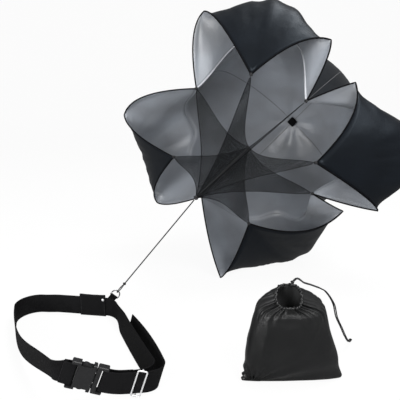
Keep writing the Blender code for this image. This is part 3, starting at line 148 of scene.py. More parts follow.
@dataclass(frozen=True)
class Layout:
    """Where each frame stands, from a point in front of the whole set."""

    stand: tuple[float, float, float] = (-0.0685, -1.0460, 0.0)
    buckle: tuple[float, float, float] = (-0.1848, 0.6353, 0.0446)
    buckle_yaw: float = 8.0
    buckle_tilt: float = 20.0
    buckle_lean: float = 8.0
    plug_right: float = 0.0314
    strap_bend: float = 0.0300
    ring: tuple[float, float, float] = (-0.2122, 0.9371, 0.0294)
    ring_yaw: float = 20.0
    ring_rise: float = 46.0
    canopy: tuple[float, float, float] = (0.1231, 1.1027, 0.3719)
    canopy_yaw: float = 24.0
    canopy_slope: float = 6.0
    canopy_roll: float = 4.5
    bag: tuple[float, float, float] = (0.1627, 0.6940, 0.0)
    bag_yaw: float = 2.7

    def origin(self) -> Matrix:
        """Return the standing point's frame."""
        return Matrix.Translation(self.stand)

    def belt_plan(self) -> Matrix:
        """Return the frame of the belt's plan, on the floor."""
        x, y, _ = self.buckle
        return self.origin() @ Matrix.Translation((x, y, 0.0)) @ turned(self.buckle_yaw, "Z")

    def buckle_lift(self) -> Matrix:
        """Return the buckle's frame in the belt's plan."""
        lift = Matrix.Translation((0.0, 0.0, self.buckle[2]))
        return lift @ turned(self.buckle_tilt, "Y") @ turned(self.buckle_lean, "X")

    def buckle_frame(self) -> Matrix:
        """Return the frame in the middle of the buckle."""
        return self.belt_plan() @ self.buckle_lift()

    def strap_shift(self) -> Matrix:
        """Return the level strap's frame in the buckle's."""
        turn = radians(self.buckle_tilt)
        radius = self.strap_bend / turn
        place = (self.plug_right + radius * sin(turn), 0.0, radius * (1.0 - cos(turn)))
        return Matrix.Translation(place) @ turned(-self.buckle_tilt, "Y")

    def ring_frame(self) -> Matrix:
        """Return the frame of the tab and the ring."""
        place = self.origin() @ Matrix.Translation(self.ring)
        return place @ turned(self.ring_yaw, "Z") @ turned(-self.ring_rise, "Y")

    def canopy_frame(self) -> Matrix:
        """Return the canopy's frame: x to its right, y up, z out of its mouth."""
        yaw, slope, roll = (
            radians(angle) for angle in (self.canopy_yaw, self.canopy_slope, self.canopy_roll)
        )
        back = Vector((sin(yaw) * cos(slope), cos(yaw) * cos(slope), sin(slope)))
        level_right = Vector((cos(yaw), -sin(yaw), 0.0))
        level_up = level_right.cross(back)
        right = cos(roll) * level_right + sin(roll) * level_up
        up = cos(roll) * level_up - sin(roll) * level_right
        axes = Matrix((right, up, -back)).transposed().to_4x4()
        return self.origin() @ Matrix.Translation(self.canopy) @ axes

    def bag_frame(self) -> Matrix:
        """Return the frame under the middle of the bag."""
        return self.origin() @ Matrix.Translation(self.bag) @ turned(self.bag_yaw, "Z")


class Maker:
    """Turns rings and grids of points into finished pieces."""

    SELVEDGE = (
        (-1.0, 0.30), (-0.985, 0.78), (-0.93, 1.0), (-0.86, 0.93), (-0.5, 0.90), (0.0, 0.90),
        (0.5, 0.90), (0.86, 0.93), (0.93, 1.0), (0.985, 0.78), (1.0, 0.30),
    )  # shares of a strap's width and thickness, from edge to edge
    STITCH = ((-0.5, 0.25), (-0.3, 1.0), (0.3, 1.0), (0.5, 0.25))  # shares of length and width
    STRAND_DEPTH = 0.07  # how deep the grooves between a cord's strands are

    @staticmethod
    def finish(name: str, shape: bmesh.types.BMesh, smooth: float | None = None) -> Item:
        """Turn a shape into an object, smooth all over or up to an angle."""
        mesh = bpy.data.meshes.new(name)
        shape.to_mesh(mesh)
        shape.free()
        mesh.shade_smooth()
        if smooth is not None:
            mesh.set_sharp_from_angle(angle=radians(smooth))
        return link(name, mesh)

    @classmethod
    def loft(cls, name: str, rings: Sequence[Ring], closed: bool = True, caps: bool = True,
             cyclic: bool = False, smooth: float = 50.0) -> Item:
        """Build a mesh through rings of points, with its lengths in the strip map.

        Args:
            name: The piece's name.
            rings: Rings of as many points each.
            closed: Whether each ring closes on itself.
            caps: Whether the first and last ring are filled.
            cyclic: Whether the last ring joins the first.
            smooth: Largest angle that is shaded smooth.
        """
        count, levels = len(rings[0]), len(rings)
        shape = bmesh.new()
        rows = [[shape.verts.new(point) for point in ring] for ring in rings]
        strip = shape.loops.layers.uv.new(STRIP_MAP)
        along = [0.0]
        for before, after in zip(rings, rings[1:]):
            along.append(along[-1] + sum((b - a).length for a, b in zip(before, after)) / count)
        across = [0.0]
        widest = max(rings, key=lambda ring: (ring[0] - ring[count // 2]).length)
        for index in range(count):
            across.append(across[-1] + (widest[(index + 1) % count] - widest[index]).length)
        for level in range(levels if cyclic else levels - 1):
            following = (level + 1) % levels
            far = along[level + 1] if level + 1 < levels else along[level] + along[1]
            for index in range(count if closed else count - 1):
                beside = (index + 1) % count
                corners = (
                    (rows[level][index], (along[level], across[index])),
                    (rows[level][beside], (along[level], across[index + 1])),
                    (rows[following][beside], (far, across[index + 1])),
                    (rows[following][index], (far, across[index])),
                )
                face = shape.faces.new([vertex for vertex, _ in corners])
                for loop, (_, place) in zip(face.loops, corners):
                    loop[strip].uv = place
        if closed:
            for row in (rows[0], rows[-1]) if caps and not cyclic else ():
                shape.faces.new(row)
            bmesh.ops.recalc_face_normals(shape, faces=shape.faces)
        return cls.finish(name, shape, smooth)

    @classmethod
    def rope_rings(cls, points: Sequence[Vector], diameter: float, sides: int = 12, strands: int = 0,
                   lay: float = 0.009, cyclic: bool = False, squeeze: float = 0.0) -> list[Ring]:
        """Return rings round a line of points, with the swell of twisted strands.

        Args:
            points: The line's points.
            diameter: Width over the strands.
            sides: Points in a ring.
            strands: How many strands show, or 0 for a smooth cord.
            lay: Length of a strand's turn.
            cyclic: Whether the line closes.
            squeeze: How much flatter the cord is in its second direction.
        """
        rings, travelled, normal = [], 0.0, None
        count = len(points)
        for index, point in enumerate(points):
            before = points[index - 1] if index or cyclic else point
            after = points[(index + 1) % count] if index + 1 < count or cyclic else point
            along = (after - before).normalized()
            if normal is None:
                helper = Vector((0.0, 0.0, 1.0)) if abs(along.z) < 0.9 else Vector((1.0, 0.0, 0.0))
                normal = along.cross(helper).normalized()
            normal = (normal - along * normal.dot(along)).normalized()
            other = along.cross(normal)
            if index:
                travelled += (point - points[index - 1]).length
            ring = []
            for side in range(sides):
                angle = 2.0 * pi * side / sides
                swell = 1.0
                if strands:
                    wave = cos(strands * (angle - 2.0 * pi * travelled / lay))
                    swell += cls.STRAND_DEPTH * (wave - 1.0)
                turn = normal * cos(angle) + other * sin(angle) * (1.0 - squeeze)
                ring.append(point + turn * (diameter / 2 * swell))
            rings.append(ring)
        return rings

    @classmethod
    def rope(cls, name: str, points: Sequence[Vector], diameter: float, **choices: object) -> Item:
        """Build a cord, wire or hem round a line of points."""
        cyclic = bool(choices.get("cyclic", False))
        return cls.loft(name, cls.rope_rings(points, diameter, **choices), cyclic=cyclic, smooth=80.0)

    @classmethod
    def ribbon(cls, name: str, sections: Sequence[Section], width: float, thickness: float) -> Item:
        """Build a flat strap with firm edges through its sections."""
        rings = []
        for middle, rise, forward in sections:
            side = rise.cross(forward).normalized()
            front, back = (
                [middle + rise * share * width / 2 + side * face * bulge * thickness / 2
                 for share, bulge in cls.SELVEDGE]
                for face in (1.0, -1.0)
            )
            rings.append(front + back[::-1])
        return cls.loft(name, rings)

    @classmethod
    def knot(cls, name: str, centre: Vector, diameter: float, turn: float) -> Item:
        """Build a pulled-tight overhand knot of cord, turned by an angle in radians."""
        thick = diameter * 0.36
        reach = (diameter - thick) / 2 / 3.0
        spin = Matrix.Rotation(turn, 3, Vector((0.3, 0.8, 0.5)))
        points = []
        for step in range(60):
            t = 2.0 * pi * step / 60
            loop = Vector((sin(t) + 2 * sin(2 * t), cos(t) - 2 * cos(2 * t), -1.9 * sin(3 * t)))
            points.append(centre + spin @ loop * reach)
        return cls.rope(name, points, thick, sides=10, cyclic=True)

    @classmethod
    def stitches(cls, name: str, line: SewnLine, pitch: float = 0.0032, length: float = 0.0022,
                 width: float = 0.0007) -> Item:
        """Build a row of thread stitches that lie on a surface.

        Args:
            name: The piece's name.
            line: Points of the row, each with the surface's outward direction.
            pitch: Length from one stitch to the next.
            length: Length of one stitch.
            width: Thickness of the thread.
        """
        shape = bmesh.new()
        travelled, due = 0.0, pitch / 2
        for (start, up_start), (end, up_end) in zip(line, line[1:]):
            span, along = (end - start).length, (end - start).normalized()
            while span > 0.0 and travelled + span >= due:
                share = (due - travelled) / span
                centre = start.lerp(end, share)
                up = up_start.lerp(up_end, share).normalized()
                across = up.cross(along).normalized()
                rings = [
                    [shape.verts.new(centre + along * length * place + way * (width / 2 * size))
                     for way in (across, up, -across, -up)]
                    for place, size in cls.STITCH
                ]
                for near, far in zip(rings, rings[1:]):
                    for index in range(4):
                        beside = (index + 1) % 4
                        shape.faces.new((near[index], near[beside], far[beside], far[index]))
                for ring in (rings[0], rings[-1]):
                    shape.faces.new(ring)
                due += pitch
            travelled += span
        bmesh.ops.recalc_face_normals(shape, faces=shape.faces)
        return cls.finish(name, shape)

    @staticmethod
    def face_towards(item: Item, target: Callable[[Vector], Vector]) -> None:
        """Turn an open sheet over if most of it faces away from the direction at its points."""
        if sum(face.normal.dot(target(face.center)) for face in item.data.polygons) < 0.0:
            item.data.flip_normals()

    @staticmethod
    def thicken(item: Item, thickness: float) -> None:
        """Give a sheet its thickness, with its second material on the other face."""
        solidify = item.modifiers.new("Thickness", "SOLIDIFY")
        solidify.thickness, solidify.offset = thickness, 0.0
        solidify.material_offset = solidify.material_offset_rim = 1

    @classmethod
    def cloth(cls, name: str, grid: Sequence[Ring], thickness: float,
              target: Callable[[Vector], Vector] | None = None, smooth: float = 75.0) -> Item:
        """Build a sheet of cloth.

        Args:
            name: The piece's name.
            grid: Lines of as many points each.
            thickness: The cloth's thickness.
            target: Gives the direction that its first face looks in, at a point.
            smooth: Largest angle that is shaded smooth.
        """
        item = cls.loft(name, grid, closed=False, smooth=smooth)
        if target:
            cls.face_towards(item, target)
        cls.thicken(item, thickness)
        return item


@dataclass
class Assembly:
    """A sub-assembly, with the materials that its pieces can be dressed in."""

    stuff: dict[str, tuple[bpy.types.Material, Slot]]

    def coat(self, item: Item, finishes: str) -> None:
        """Give a piece its finishes, named with a blank between them."""
        item.data.materials.clear()
        for finish in finishes.split():
            item.data.materials.append(self.stuff[finish][0])

    def dress(self, item: Item, body: Body, finishes: str, *nodes: str) -> Item:
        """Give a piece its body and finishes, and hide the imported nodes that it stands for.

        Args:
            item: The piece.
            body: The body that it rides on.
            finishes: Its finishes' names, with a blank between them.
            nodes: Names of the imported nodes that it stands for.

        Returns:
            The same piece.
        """
        self.coat(item, finishes)
        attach(item, body.value)
        if nodes:
            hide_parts(*nodes)
        LOG.info("%s rides on %s", item.name, body.value)
        return item

    def sew(self, name: str, line: SewnLine, body: Body, *sizes: float) -> None:
        """Build and dress a row of stitches, with its pitch, length and width if they differ."""
        self.dress(Maker.stitches(name, line, *sizes), body, "sewing_thread")


class Sketch:
    """A node tree with short calls for the nodes that the finishes use."""

    def __init__(self, tree: Tree) -> None:
        """Keep the tree that the nodes go into."""
        self.tree = tree

    def node(self, kind: str, **inputs: object) -> bpy.types.Node:
        """Add a node and set or link its named inputs."""
        made = self.tree.nodes.new(kind)
        for name, value in inputs.items():
            self.feed(made.inputs[name.replace("_", " ")], value)
        return made

    def feed(self, socket: Socket, value: object) -> None:
        """Link an output to a socket, or set the socket's own value."""
        if isinstance(value, Socket):
            self.tree.links.new(value, socket)
        else:
            socket.default_value = value

    def maths(self, operation: str, *values: object) -> Socket:
        """Add a Math node and return its output."""
        made = self.tree.nodes.new("ShaderNodeMath")
        made.operation = operation
        for socket, value in zip(made.inputs, values):
            self.feed(socket, value)
        return made.outputs[0]

    def grain(self, place: object, scale: object, detail: float = 3.0) -> Socket:
        """Add a noise and return its value."""
        return self.node("ShaderNodeTexNoise", Vector=place, Scale=scale, Detail=detail).outputs["Fac"]

    def between(self, mask: object, low: float, high: float) -> Socket:
        """Spread a mask's values from 0 to 1 to a range."""
        return self.node("ShaderNodeMapRange", Value=mask, To_Min=low, To_Max=high).outputs["Result"]

    def blend(self, mask: object, first: object, second: object) -> Socket:
        """Mix two colours by a mask."""
        made = self.tree.nodes.new("ShaderNodeMix")
        made.data_type = "RGBA"
        self.feed(made.inputs["Factor"], mask)
        colours = [socket for socket in made.inputs if socket.type == "RGBA"]
        self.feed(colours[0], first)
        self.feed(colours[1], second)
        return next(socket for socket in made.outputs if socket.type == "RGBA")


class Effect(Sketch):
    """A node group that several finishes share, and that puts out masks or heights only."""

    def __init__(self, name: str, setting: str, value: float, *outputs: str) -> None:
        """Start the group, with a place and one setting going in.

        Args:
            name: The group's name.
            setting: The setting's name.
            value: The setting's first value.
            outputs: Names of what comes out.
        """
        super().__init__(bpy.data.node_groups.new(name, "ShaderNodeTree"))
        sockets = self.tree.interface
        sockets.new_socket("Vector", in_out="INPUT", socket_type="NodeSocketVector")
        number = sockets.new_socket(setting, in_out="INPUT", socket_type="NodeSocketFloat")
        number.default_value = value
        for output in outputs:
            sockets.new_socket(output, in_out="OUTPUT", socket_type="NodeSocketFloat")
        given = self.tree.nodes.new("NodeGroupInput").outputs
        self.place, self.setting = given["Vector"], given[setting]
        self.put = self.tree.nodes.new("NodeGroupOutput").inputs


class Effects:
    """The effects that several finishes share."""

    def __init__(self) -> None:
        """Build each group once."""
        self.weave = self._weave()
        self.crumple = self._crumple()
        self.wear = self._wear()
        self.dust = self._dust()

    @staticmethod
    def _weave() -> Tree:
        """Crossing yarns, from lengths along and across the cloth."""
        effect = Effect("crossing_yarns", "Pitch", 0.001, "Height")
        split = effect.node("ShaderNodeSeparateXYZ", Vector=effect.place).outputs
        waves = []
        for axis, shift in (("X", 0.0), ("Y", 0.5)):
            turns = effect.maths("ADD", effect.maths("DIVIDE", split[axis], effect.setting), shift)
            waves.append(effect.maths("SINE", effect.maths("MULTIPLY", turns, pi)))
        height = effect.maths("ABSOLUTE", effect.maths("MULTIPLY", *waves))
        effect.feed(effect.put["Height"], height)
        return effect.tree

    @staticmethod
    def _crumple() -> Tree:
        """Small creases in light cloth, and the way its tone varies."""
        effect = Effect("creased_cloth", "Scale", 20.0, "Height", "Mask")
        broad = effect.grain(effect.place, effect.setting, 2.0)
        ridge = effect.maths("ABSOLUTE", effect.maths("SUBTRACT", broad, 0.5))
        fine = effect.grain(effect.place, effect.maths("MULTIPLY", effect.setting, 4.0), 4.0)
        height = effect.maths("SUBTRACT", effect.maths("MULTIPLY", fine, 0.3), ridge)
        effect.feed(effect.put["Height"], height)
        effect.feed(effect.put["Mask"], broad)
        return effect.tree

    @staticmethod
    def _wear() -> Tree:
        """Rubbed edges, broken up by grain."""
        effect = Effect("rubbed_edges", "Amount", 1.0, "Mask")
        shape = effect.tree.nodes.new("ShaderNodeNewGeometry")
        edge = effect.between(shape.outputs["Pointiness"], -9.0, 9.4)
        edge = effect.maths("MINIMUM", effect.maths("MAXIMUM", edge, 0.0), 1.0)
        rubbed = effect.maths("MULTIPLY", edge, effect.grain(effect.place, 420.0, 4.0))
        effect.feed(effect.put["Mask"], effect.maths("MULTIPLY", rubbed, effect.setting))
        return effect.tree

    @staticmethod
    def _dust() -> Tree:
        """Lint and dust that settle in patches."""
        effect = Effect("settled_dust", "Amount", 0.2, "Mask")
        patches = effect.grain(effect.place, 14.0, 5.0)
        specks = effect.maths("GREATER_THAN", effect.grain(effect.place, 900.0), 0.62)
        settled = effect.maths("ADD", patches, specks)
        effect.feed(effect.put["Mask"], effect.maths("MULTIPLY", settled, effect.setting))
        return effect.tree


@dataclass(frozen=True)
class Finish:
    """A finish in two tones, with its weave, creases, wear and dust."""

    name: str
    slot: Slot
    dark: Colour
    light: Colour
    roughness: tuple[float, float]
    yarn: float = 0.0  # pitch of the yarns, 0 for none
    yarn_height: float = 0.0
    crease_scale: float = 18.0
    crease_height: float = 0.0
    dust: float = 0.0
    wear: float = 0.0
    metallic: float = 0.0
    sheen: float = 0.0
    specular: float = 0.5
    tint: Colour = (1.0, 1.0, 1.0)  # colour of the gloss
    mesh_pitch: float = 0.0  # pitch of open mesh, 0 for closed cloth
    mesh_yarn: float = 0.3  # share of the pitch that is yarn

    DUST_TONE = (0.30, 0.29, 0.28, 1.0)
    WORN_TONE = (0.32, 0.32, 0.33, 1.0)

    def build(self, effects: Effects) -> bpy.types.Material:
        """Return the finish as a node material."""
        material = bpy.data.materials.new(self.name)
        material.use_nodes = True
        sketch = Sketch(material.node_tree)
        shader = material.node_tree.nodes["Principled BSDF"]
        solid = sketch.node("ShaderNodeTexCoord").outputs["Object"]
        strip = sketch.node("ShaderNodeUVMap")
        strip.uv_map = STRIP_MAP
        creases = self._effect(sketch, effects.crumple, Vector=solid, Scale=self.crease_scale)
        colour = sketch.blend(creases["Mask"], (*self.dark, 1.0), (*self.light, 1.0))
        height = sketch.maths("MULTIPLY", creases["Height"], self.crease_height)
        if self.yarn:
            yarns = self._effect(sketch, effects.weave, Vector=strip.outputs["UV"], Pitch=self.yarn)
            dim = sketch.tree.nodes.new("ShaderNodeVectorMath")
            dim.operation = "SCALE"
            sketch.feed(dim.inputs[0], colour)
            sketch.feed(dim.inputs["Scale"], sketch.between(yarns["Height"], 0.62, 1.25))
            colour = dim.outputs[0]
            yarn_part = sketch.maths("MULTIPLY", yarns["Height"], self.yarn_height)
            height = sketch.maths("ADD", height, yarn_part)
        if self.dust:
            dust = self._effect(sketch, effects.dust, Vector=solid, Amount=self.dust)
            colour = sketch.blend(dust["Mask"], colour, self.DUST_TONE)
        if self.wear:
            wear = self._effect(sketch, effects.wear, Vector=solid, Amount=self.wear)
            colour = sketch.blend(wear["Mask"], colour, self.WORN_TONE)
        bump = sketch.node("ShaderNodeBump", Height=height, Distance=1.0, Strength=1.0)
        for name, value in (
            ("Base Color", colour),
            ("Roughness", sketch.between(creases["Mask"], *self.roughness)),
            ("Normal", bump.outputs["Normal"]),
            ("Metallic", self.metallic),
            ("Sheen Weight", self.sheen),
            ("Sheen Roughness", 0.4),
            ("Specular IOR Level", self.specular),
            ("Specular Tint", (*self.tint, 1.0)),
        ):
            sketch.feed(shader.inputs[name], value)
        if self.mesh_pitch:
            sketch.feed(shader.inputs["Alpha"], self._mesh(sketch, strip.outputs["UV"]))
        return material

    @staticmethod
    def _effect(sketch: Sketch, tree: Tree, **inputs: object) -> bpy.types.NodeOutputs:
        """Place a shared effect with this finish's own values, and return what it puts out."""
        made = sketch.tree.nodes.new("ShaderNodeGroup")
        made.node_tree = tree
        for name, value in inputs.items():
            sketch.feed(made.inputs[name], value)
        return made.outputs

    def _mesh(self, sketch: Sketch, place: Socket) -> Socket:
        """Return where the yarns of an open mesh are."""
        split = sketch.node("ShaderNodeSeparateXYZ", Vector=place).outputs
        lines = []
        for sign in (1.0, -1.0):
            turns = sketch.maths("ADD", split["X"], sketch.maths("MULTIPLY", split["Y"], sign))
            turns = sketch.maths("FRACT", sketch.maths("DIVIDE", turns, self.mesh_pitch))
            lines.append(sketch.maths("LESS_THAN", turns, self.mesh_yarn))
        return sketch.maths("MAXIMUM", *lines)


FINISHES = (
    Finish("canopy_inner", Slot.CANOPY, (0.17, 0.172, 0.176), (0.38, 0.415, 0.47), (0.24, 0.42),
           yarn=0.0011, yarn_height=0.00005, crease_scale=9.0, crease_height=0.0040,
           dust=0.02, sheen=0.05, specular=0.60),
    Finish("canopy_outer", Slot.CANOPY, (0.0025, 0.0028, 0.0034), (0.006, 0.008, 0.012), (0.32, 0.44),
           yarn=0.0011, yarn_height=0.00005, crease_scale=9.0, crease_height=0.0020,
           dust=0.003, specular=0.20, tint=(0.74, 0.87, 1.0)),
    # Pale seam tape for the top seam: partly the tape's own light fabric, partly painted glow of light
    # shining through it
    Finish("pale_seam_painted_glow", Slot.CANOPY, (0.42, 0.43, 0.45), (0.60, 0.62, 0.66), (0.4, 0.6),
           yarn=0.0008, yarn_height=0.00010, crease_scale=60.0, crease_height=0.0004),
    Finish("panel_rib", Slot.CANOPY, (0.08, 0.08, 0.085), (0.14, 0.14, 0.15), (0.5, 0.7),
           yarn=0.0008, yarn_height=0.00010, crease_scale=60.0, crease_height=0.0003),
    Finish("hem_tape", Slot.CANOPY, (0.003, 0.003, 0.0035), (0.006, 0.006, 0.007), (0.6, 0.8),
           yarn=0.0008, yarn_height=0.00010, crease_scale=60.0, crease_height=0.0004,
           specular=0.05),
    Finish("open_net", Slot.NET, (0.004, 0.005, 0.006), (0.010, 0.011, 0.013), (0.6, 0.8),
           crease_scale=80.0, crease_height=0.0001, mesh_pitch=0.0030, mesh_yarn=0.26,
           specular=0.2),
    Finish("belt_webbing", Slot.WEBBING, (0.0032, 0.0032, 0.0036), (0.008, 0.008, 0.009), (0.62, 0.82),
           yarn=0.0016, yarn_height=0.00030, crease_scale=40.0, crease_height=0.0005,
           dust=0.003, specular=0.10),
    Finish("buckle_plastic", Slot.PLASTIC, (0.0040, 0.0040, 0.0045), (0.008, 0.008, 0.009), (0.28, 0.40),
           crease_scale=900.0, crease_height=0.00004, dust=0.003, wear=0.05, specular=0.26),
    Finish("steel_wire", Slot.STEEL, (0.74, 0.74, 0.75), (0.90, 0.90, 0.91), (0.24, 0.38),
           crease_scale=260.0, crease_height=0.00008, metallic=0.5),
    Finish("ring_steel", Slot.STEEL, (0.26, 0.26, 0.27), (0.42, 0.42, 0.43), (0.20, 0.36),
           crease_scale=260.0, crease_height=0.00008, metallic=1.0),
    Finish("braided_cord", Slot.CORD, (0.005, 0.005, 0.006), (0.016, 0.016, 0.018), (0.55, 0.75),
           yarn=0.0009, yarn_height=0.00012, crease_scale=120.0, crease_height=0.0002),
    Finish("bag_cloth", Slot.BAG, (0.0035, 0.0037, 0.0040), (0.009, 0.0095, 0.010), (0.26, 0.40),
           yarn=0.0011, yarn_height=0.00006, crease_scale=14.0, crease_height=0.0016,
           dust=0.004, specular=0.36),
    Finish("bag_lining", Slot.BAG, (0.045, 0.046, 0.046), (0.075, 0.077, 0.078), (0.6, 0.8),
           yarn=0.0011, yarn_height=0.00006, crease_scale=26.0, crease_height=0.0012),
    Finish("sewing_thread", Slot.WEBBING, (0.014, 0.014, 0.016), (0.045, 0.045, 0.050), (0.5, 0.7),
           crease_scale=300.0, crease_height=0.0001),
)


def arc_through(start: Vector, middle: Vector, end: Vector, share: float) -> Vector:
    """Return a point of the smooth arc from start to end that passes through middle."""
    control = 2 * middle - (start + end) / 2
    back = 1.0 - share
    return back * back * start + 2 * share * back * control + share * share * end


def outward(point: Vector) -> Vector:
    """Return the direction away from the canopy's axis."""
    return Vector((point.x, point.y, 0.0)).normalized()


def bowed(start: Vector, end: Vector, bow: float, share: float) -> Vector:
    """Return a point on a line that is bowed away from the canopy's axis."""
    middle = (start + end) / 2
    middle += outward(middle) * bow * (end - start).length
    return arc_through(start, middle, end, share)


def ring_point(angle: float, radius: float, depth: float) -> Vector:
    """Return a point at an angle and a radius round the canopy's axis, behind it by depth."""
    return Vector((radius * cos(radians(angle)), radius * sin(radians(angle)), -depth))


@dataclass(frozen=True)
class PetalPlan:
    """One petal's ties, corners, fold and bows, as shares of the canopy's rings."""

    name: str
    ties: tuple[str, str, str]
    corners: tuple[tuple[float, float, float], tuple[float, float, float]]
    fold: tuple[float, float, float]
    bows: tuple[float, float]
    flat: tuple[float, float]
    pleats: float  # how high the gathered folds stand
    ridge: float  # how far its middle fold stands out


PETALS = (
    PetalPlan("right", ("lower_right", "right", "upper_right"),
              ((326.5, 1.01, 0.89), (27.4, 0.79, 0.93)), (352.0, 0.99, 1.0), (0.06, 0.08),
              (0.494, 0.466), 0.0034, 0.005),
    PetalPlan("top", ("upper_right", "top", "upper_left"),
              ((50.6, 0.855, 1.06), (111.0, 1.06, 1.07)), (82.0, 0.859, 1.0), (0.14, 0.16),
              (0.530, 0.365), 0.0022, 0.010),
    PetalPlan("left", ("upper_left", "left", "lower_left"),
              ((165.6, 1.145, 0.44), (207.7, 1.10, 0.75)), (187.0, 0.95, 0.8), (0.18, 0.12),
              (0.517, 0.401), 0.0034, 0.004),
    PetalPlan("bottom", ("lower_left", "bottom", "lower_right"),
              ((253.4, 1.08, -0.20), (313.6, 0.845, 1.33)), (275.0, 1.0, 1.5), (0.06, 0.06),
              (0.527, 0.473), 0.0022, 0.008),
)


@dataclass
class Canopy(Assembly):
    """The petals, the centre panel, the net and what is sewn on them."""

    tie_radius: float = 0.190
    corner_radius: float = 0.350
    corner_depth: float = 0.110
    root_radius: float = 0.245
    root_depth: float = 0.205
    root_swell: float = 0.030
    corner_swell: float = 0.075
    panel_swell: float = 0.030
    fold_radius: float = 0.395
    fold_depth: float = 0.135
    apex: tuple[float, float, float] = (0.023, 0.006, -0.390)
    cloth: float = 0.0007
    hem: float = 0.0030
    seam_width: float = 0.0056
    hem_loft: float = 1.45  # how much fuller the sewn tape stands than its packed form
    hem_flatness: float = 0.20
    seam_flatness: float = 0.22
    binding_flatness: float = 0.30
    rib: float = 0.0014
    tie_knot: float = 0.0100
    core: float = 0.0036
    bridle: tuple[float, float, float] = (-0.085, -0.085, 0.161)
    bridle_knot: float = 0.0120
    net_scoop: float = 0.16
    net_sag: float = 0.004
    net_thickness: float = 0.0004
    net_steps: int = 20
    binding: float = 0.0018
    floor_height: float = 0.0009
    corner_splay: float = 0.7  # how far the swell next to a corner leans outwards
    hem_bow: float = 0.16
    roundness: float = 0.45  # how fully a petal swells next to its corners
    crowding: float = 0.65  # how far a petal's columns crowd towards its sides
    fold_height: float = 0.0020
    fold_count: int = 5
    ridge_reach: float = 0.55
    half_petal: float = 0.26  # a petal's half width and its length, for the gathers' shape
    petal_length: float = 0.42
    gather_start: float = 0.03
    gather_fade: float = 0.13
    petal_creases: float = 0.0055
    panel_creases: float = 0.0065
    apex_folds: float = 0.0035  # how deep the folds round the apex are
    patch_size: float = 0.0672  # as a share of the panel's half width
    columns: int = 56
    rows: int = 34
    panel_steps: int = 56

    # Each tie's angle, its radius as a share of tie_radius and its depth as one of corner_depth
    TIES = {
        "right": (346.0, 0.90, -0.13),
        "upper_right": (35.0, 0.91, 0.25),
        "top": (84.0, 0.917, 0.05),
        "upper_left": (132.0, 1.09, 0.24),
        "left": (184.5, 1.10, -0.14),
        "lower_left": (221.4, 1.08, 0.12),
        "bottom": (266.0, 1.06, -0.10),
        "lower_right": (318.0, 1.03, 0.29),
    }
    PANEL = ("upper_right", "upper_left", "lower_left", "lower_right")
    # Where a petal's cloth is gathered, across and along, and how many folds fan out from there
    GATHERS = ((0.0, 1.0, 15.0), (-1.0, 1.0, 9.0), (1.0, 1.0, 9.0), (-1.0, 0.0, 8.0), (1.0, 0.0, 8.0))
    BULGE_SCALE = 6.75  # brings the largest share of the panel's bulge to one

    def __post_init__(self) -> None:
        """Place the frame and the ties."""
        self.matrix = Layout().canopy_frame()
        self.ties = {
            name: ring_point(angle, radius * self.tie_radius, depth * self.corner_depth)
            for name, (angle, radius, depth) in self.TIES.items()
        }
        self.bridle_point = Vector(self.bridle)

    def world(self, point: Vector) -> Vector:
        """Return a canopy point in the row frame, lifted on to the floor."""
        placed = self.matrix @ point
        placed.z = max(placed.z, self.floor_height)
        return placed

    def root(self, first: str, second: str, share: float) -> Vector:
        """Return a point of the seam between the centre panel and a petal."""
        angle_first, angle_second = self.TIES[first][0], self.TIES[second][0]
        turn = (angle_second - angle_first) % 360.0
        middle = ring_point(angle_first + turn / 2, self.root_radius, self.root_depth)
        point = arc_through(self.ties[first], middle, self.ties[second], share)
        return point + outward(point) * self.root_swell * sin(2.0 * pi * share) ** 2

    def corner(self, plan: PetalPlan, number: int) -> Vector:
        """Return a petal's outer corner."""
        angle, radius, depth = plan.corners[number]
        return ring_point(angle, radius * self.corner_radius, depth * self.corner_depth)

    def side(self, plan: PetalPlan, number: int, share: float) -> Vector:
        """Return a point of a side hem, from the notch to the corner."""
        tie = self.ties[(plan.ties[0], plan.ties[2])[number]]
        return bowed(tie, self.corner(plan, number), plan.bows[number], share)

    def outer(self, plan: PetalPlan, across: float) -> Vector:
        """Return a point of the outer hem, across running from -1 to 1."""
        corner = self.corner(plan, 0 if across < 0.0 else 1)
        return bowed(self.ties[plan.ties[1]], corner, self.hem_bow, abs(across))

    def swells(self, plan: PetalPlan) -> tuple[Vector, list[Vector]]:
        """Return how far a petal swells at its middle and next to its two corners."""
        angle, radius, depth = plan.fold
        fold = ring_point(angle, radius * self.fold_radius, depth * self.fold_depth)
        middle = fold - (self.side(plan, 0, 0.5) + self.side(plan, 1, 0.5)) / 2
        corners = []
        for number in (0, 1):
            corner = self.corner(plan, number)
            along_side = self.side(plan, number, 0.85) - corner
            along_hem = self.outer(plan, -0.85 * (1 - 2 * number)) - corner
            square = along_side.cross(along_hem).normalized()
            away = square * math.copysign(1.0, -square.z) + outward(corner) * self.corner_splay
            corners.append(away.normalized() * self.corner_swell)
        return middle, corners

    def petal_grid(self, plan: PetalPlan) -> list[Ring]:
        """Return a petal's points, from its root to its hem."""
        middle_swell, corner_swells = self.swells(plan)
        halves = self.columns // 2
        even = [column / halves for column in range(-halves, halves + 1)]
        shares = [self.crowding * sin(pi / 2 * k) + (1.0 - self.crowding) * k for k in even]
        grid = []
        for row in range(self.rows + 1):
            along = row / self.rows
            line = []
            for across in shares:
                share = (across + 1.0) / 2
                root = self.root(plan.ties[0], plan.ties[2], share)
                sides = self.side(plan, 0, 0.5) * (1.0 - share) + self.side(plan, 1, 0.5) * share
                corner_swell = corner_swells[0 if across < 0.0 else 1]
                swell = middle_swell * (1.0 - across**4) + corner_swell * across**4
                middle = sides + swell * max(0.0, 1.0 - across * across) ** self.roundness
                point = arc_through(root, middle, self.outer(plan, across), along)
                line.append(point + outward(point) * self.ripple(plan, across, along))
            grid.append(line)
        return grid

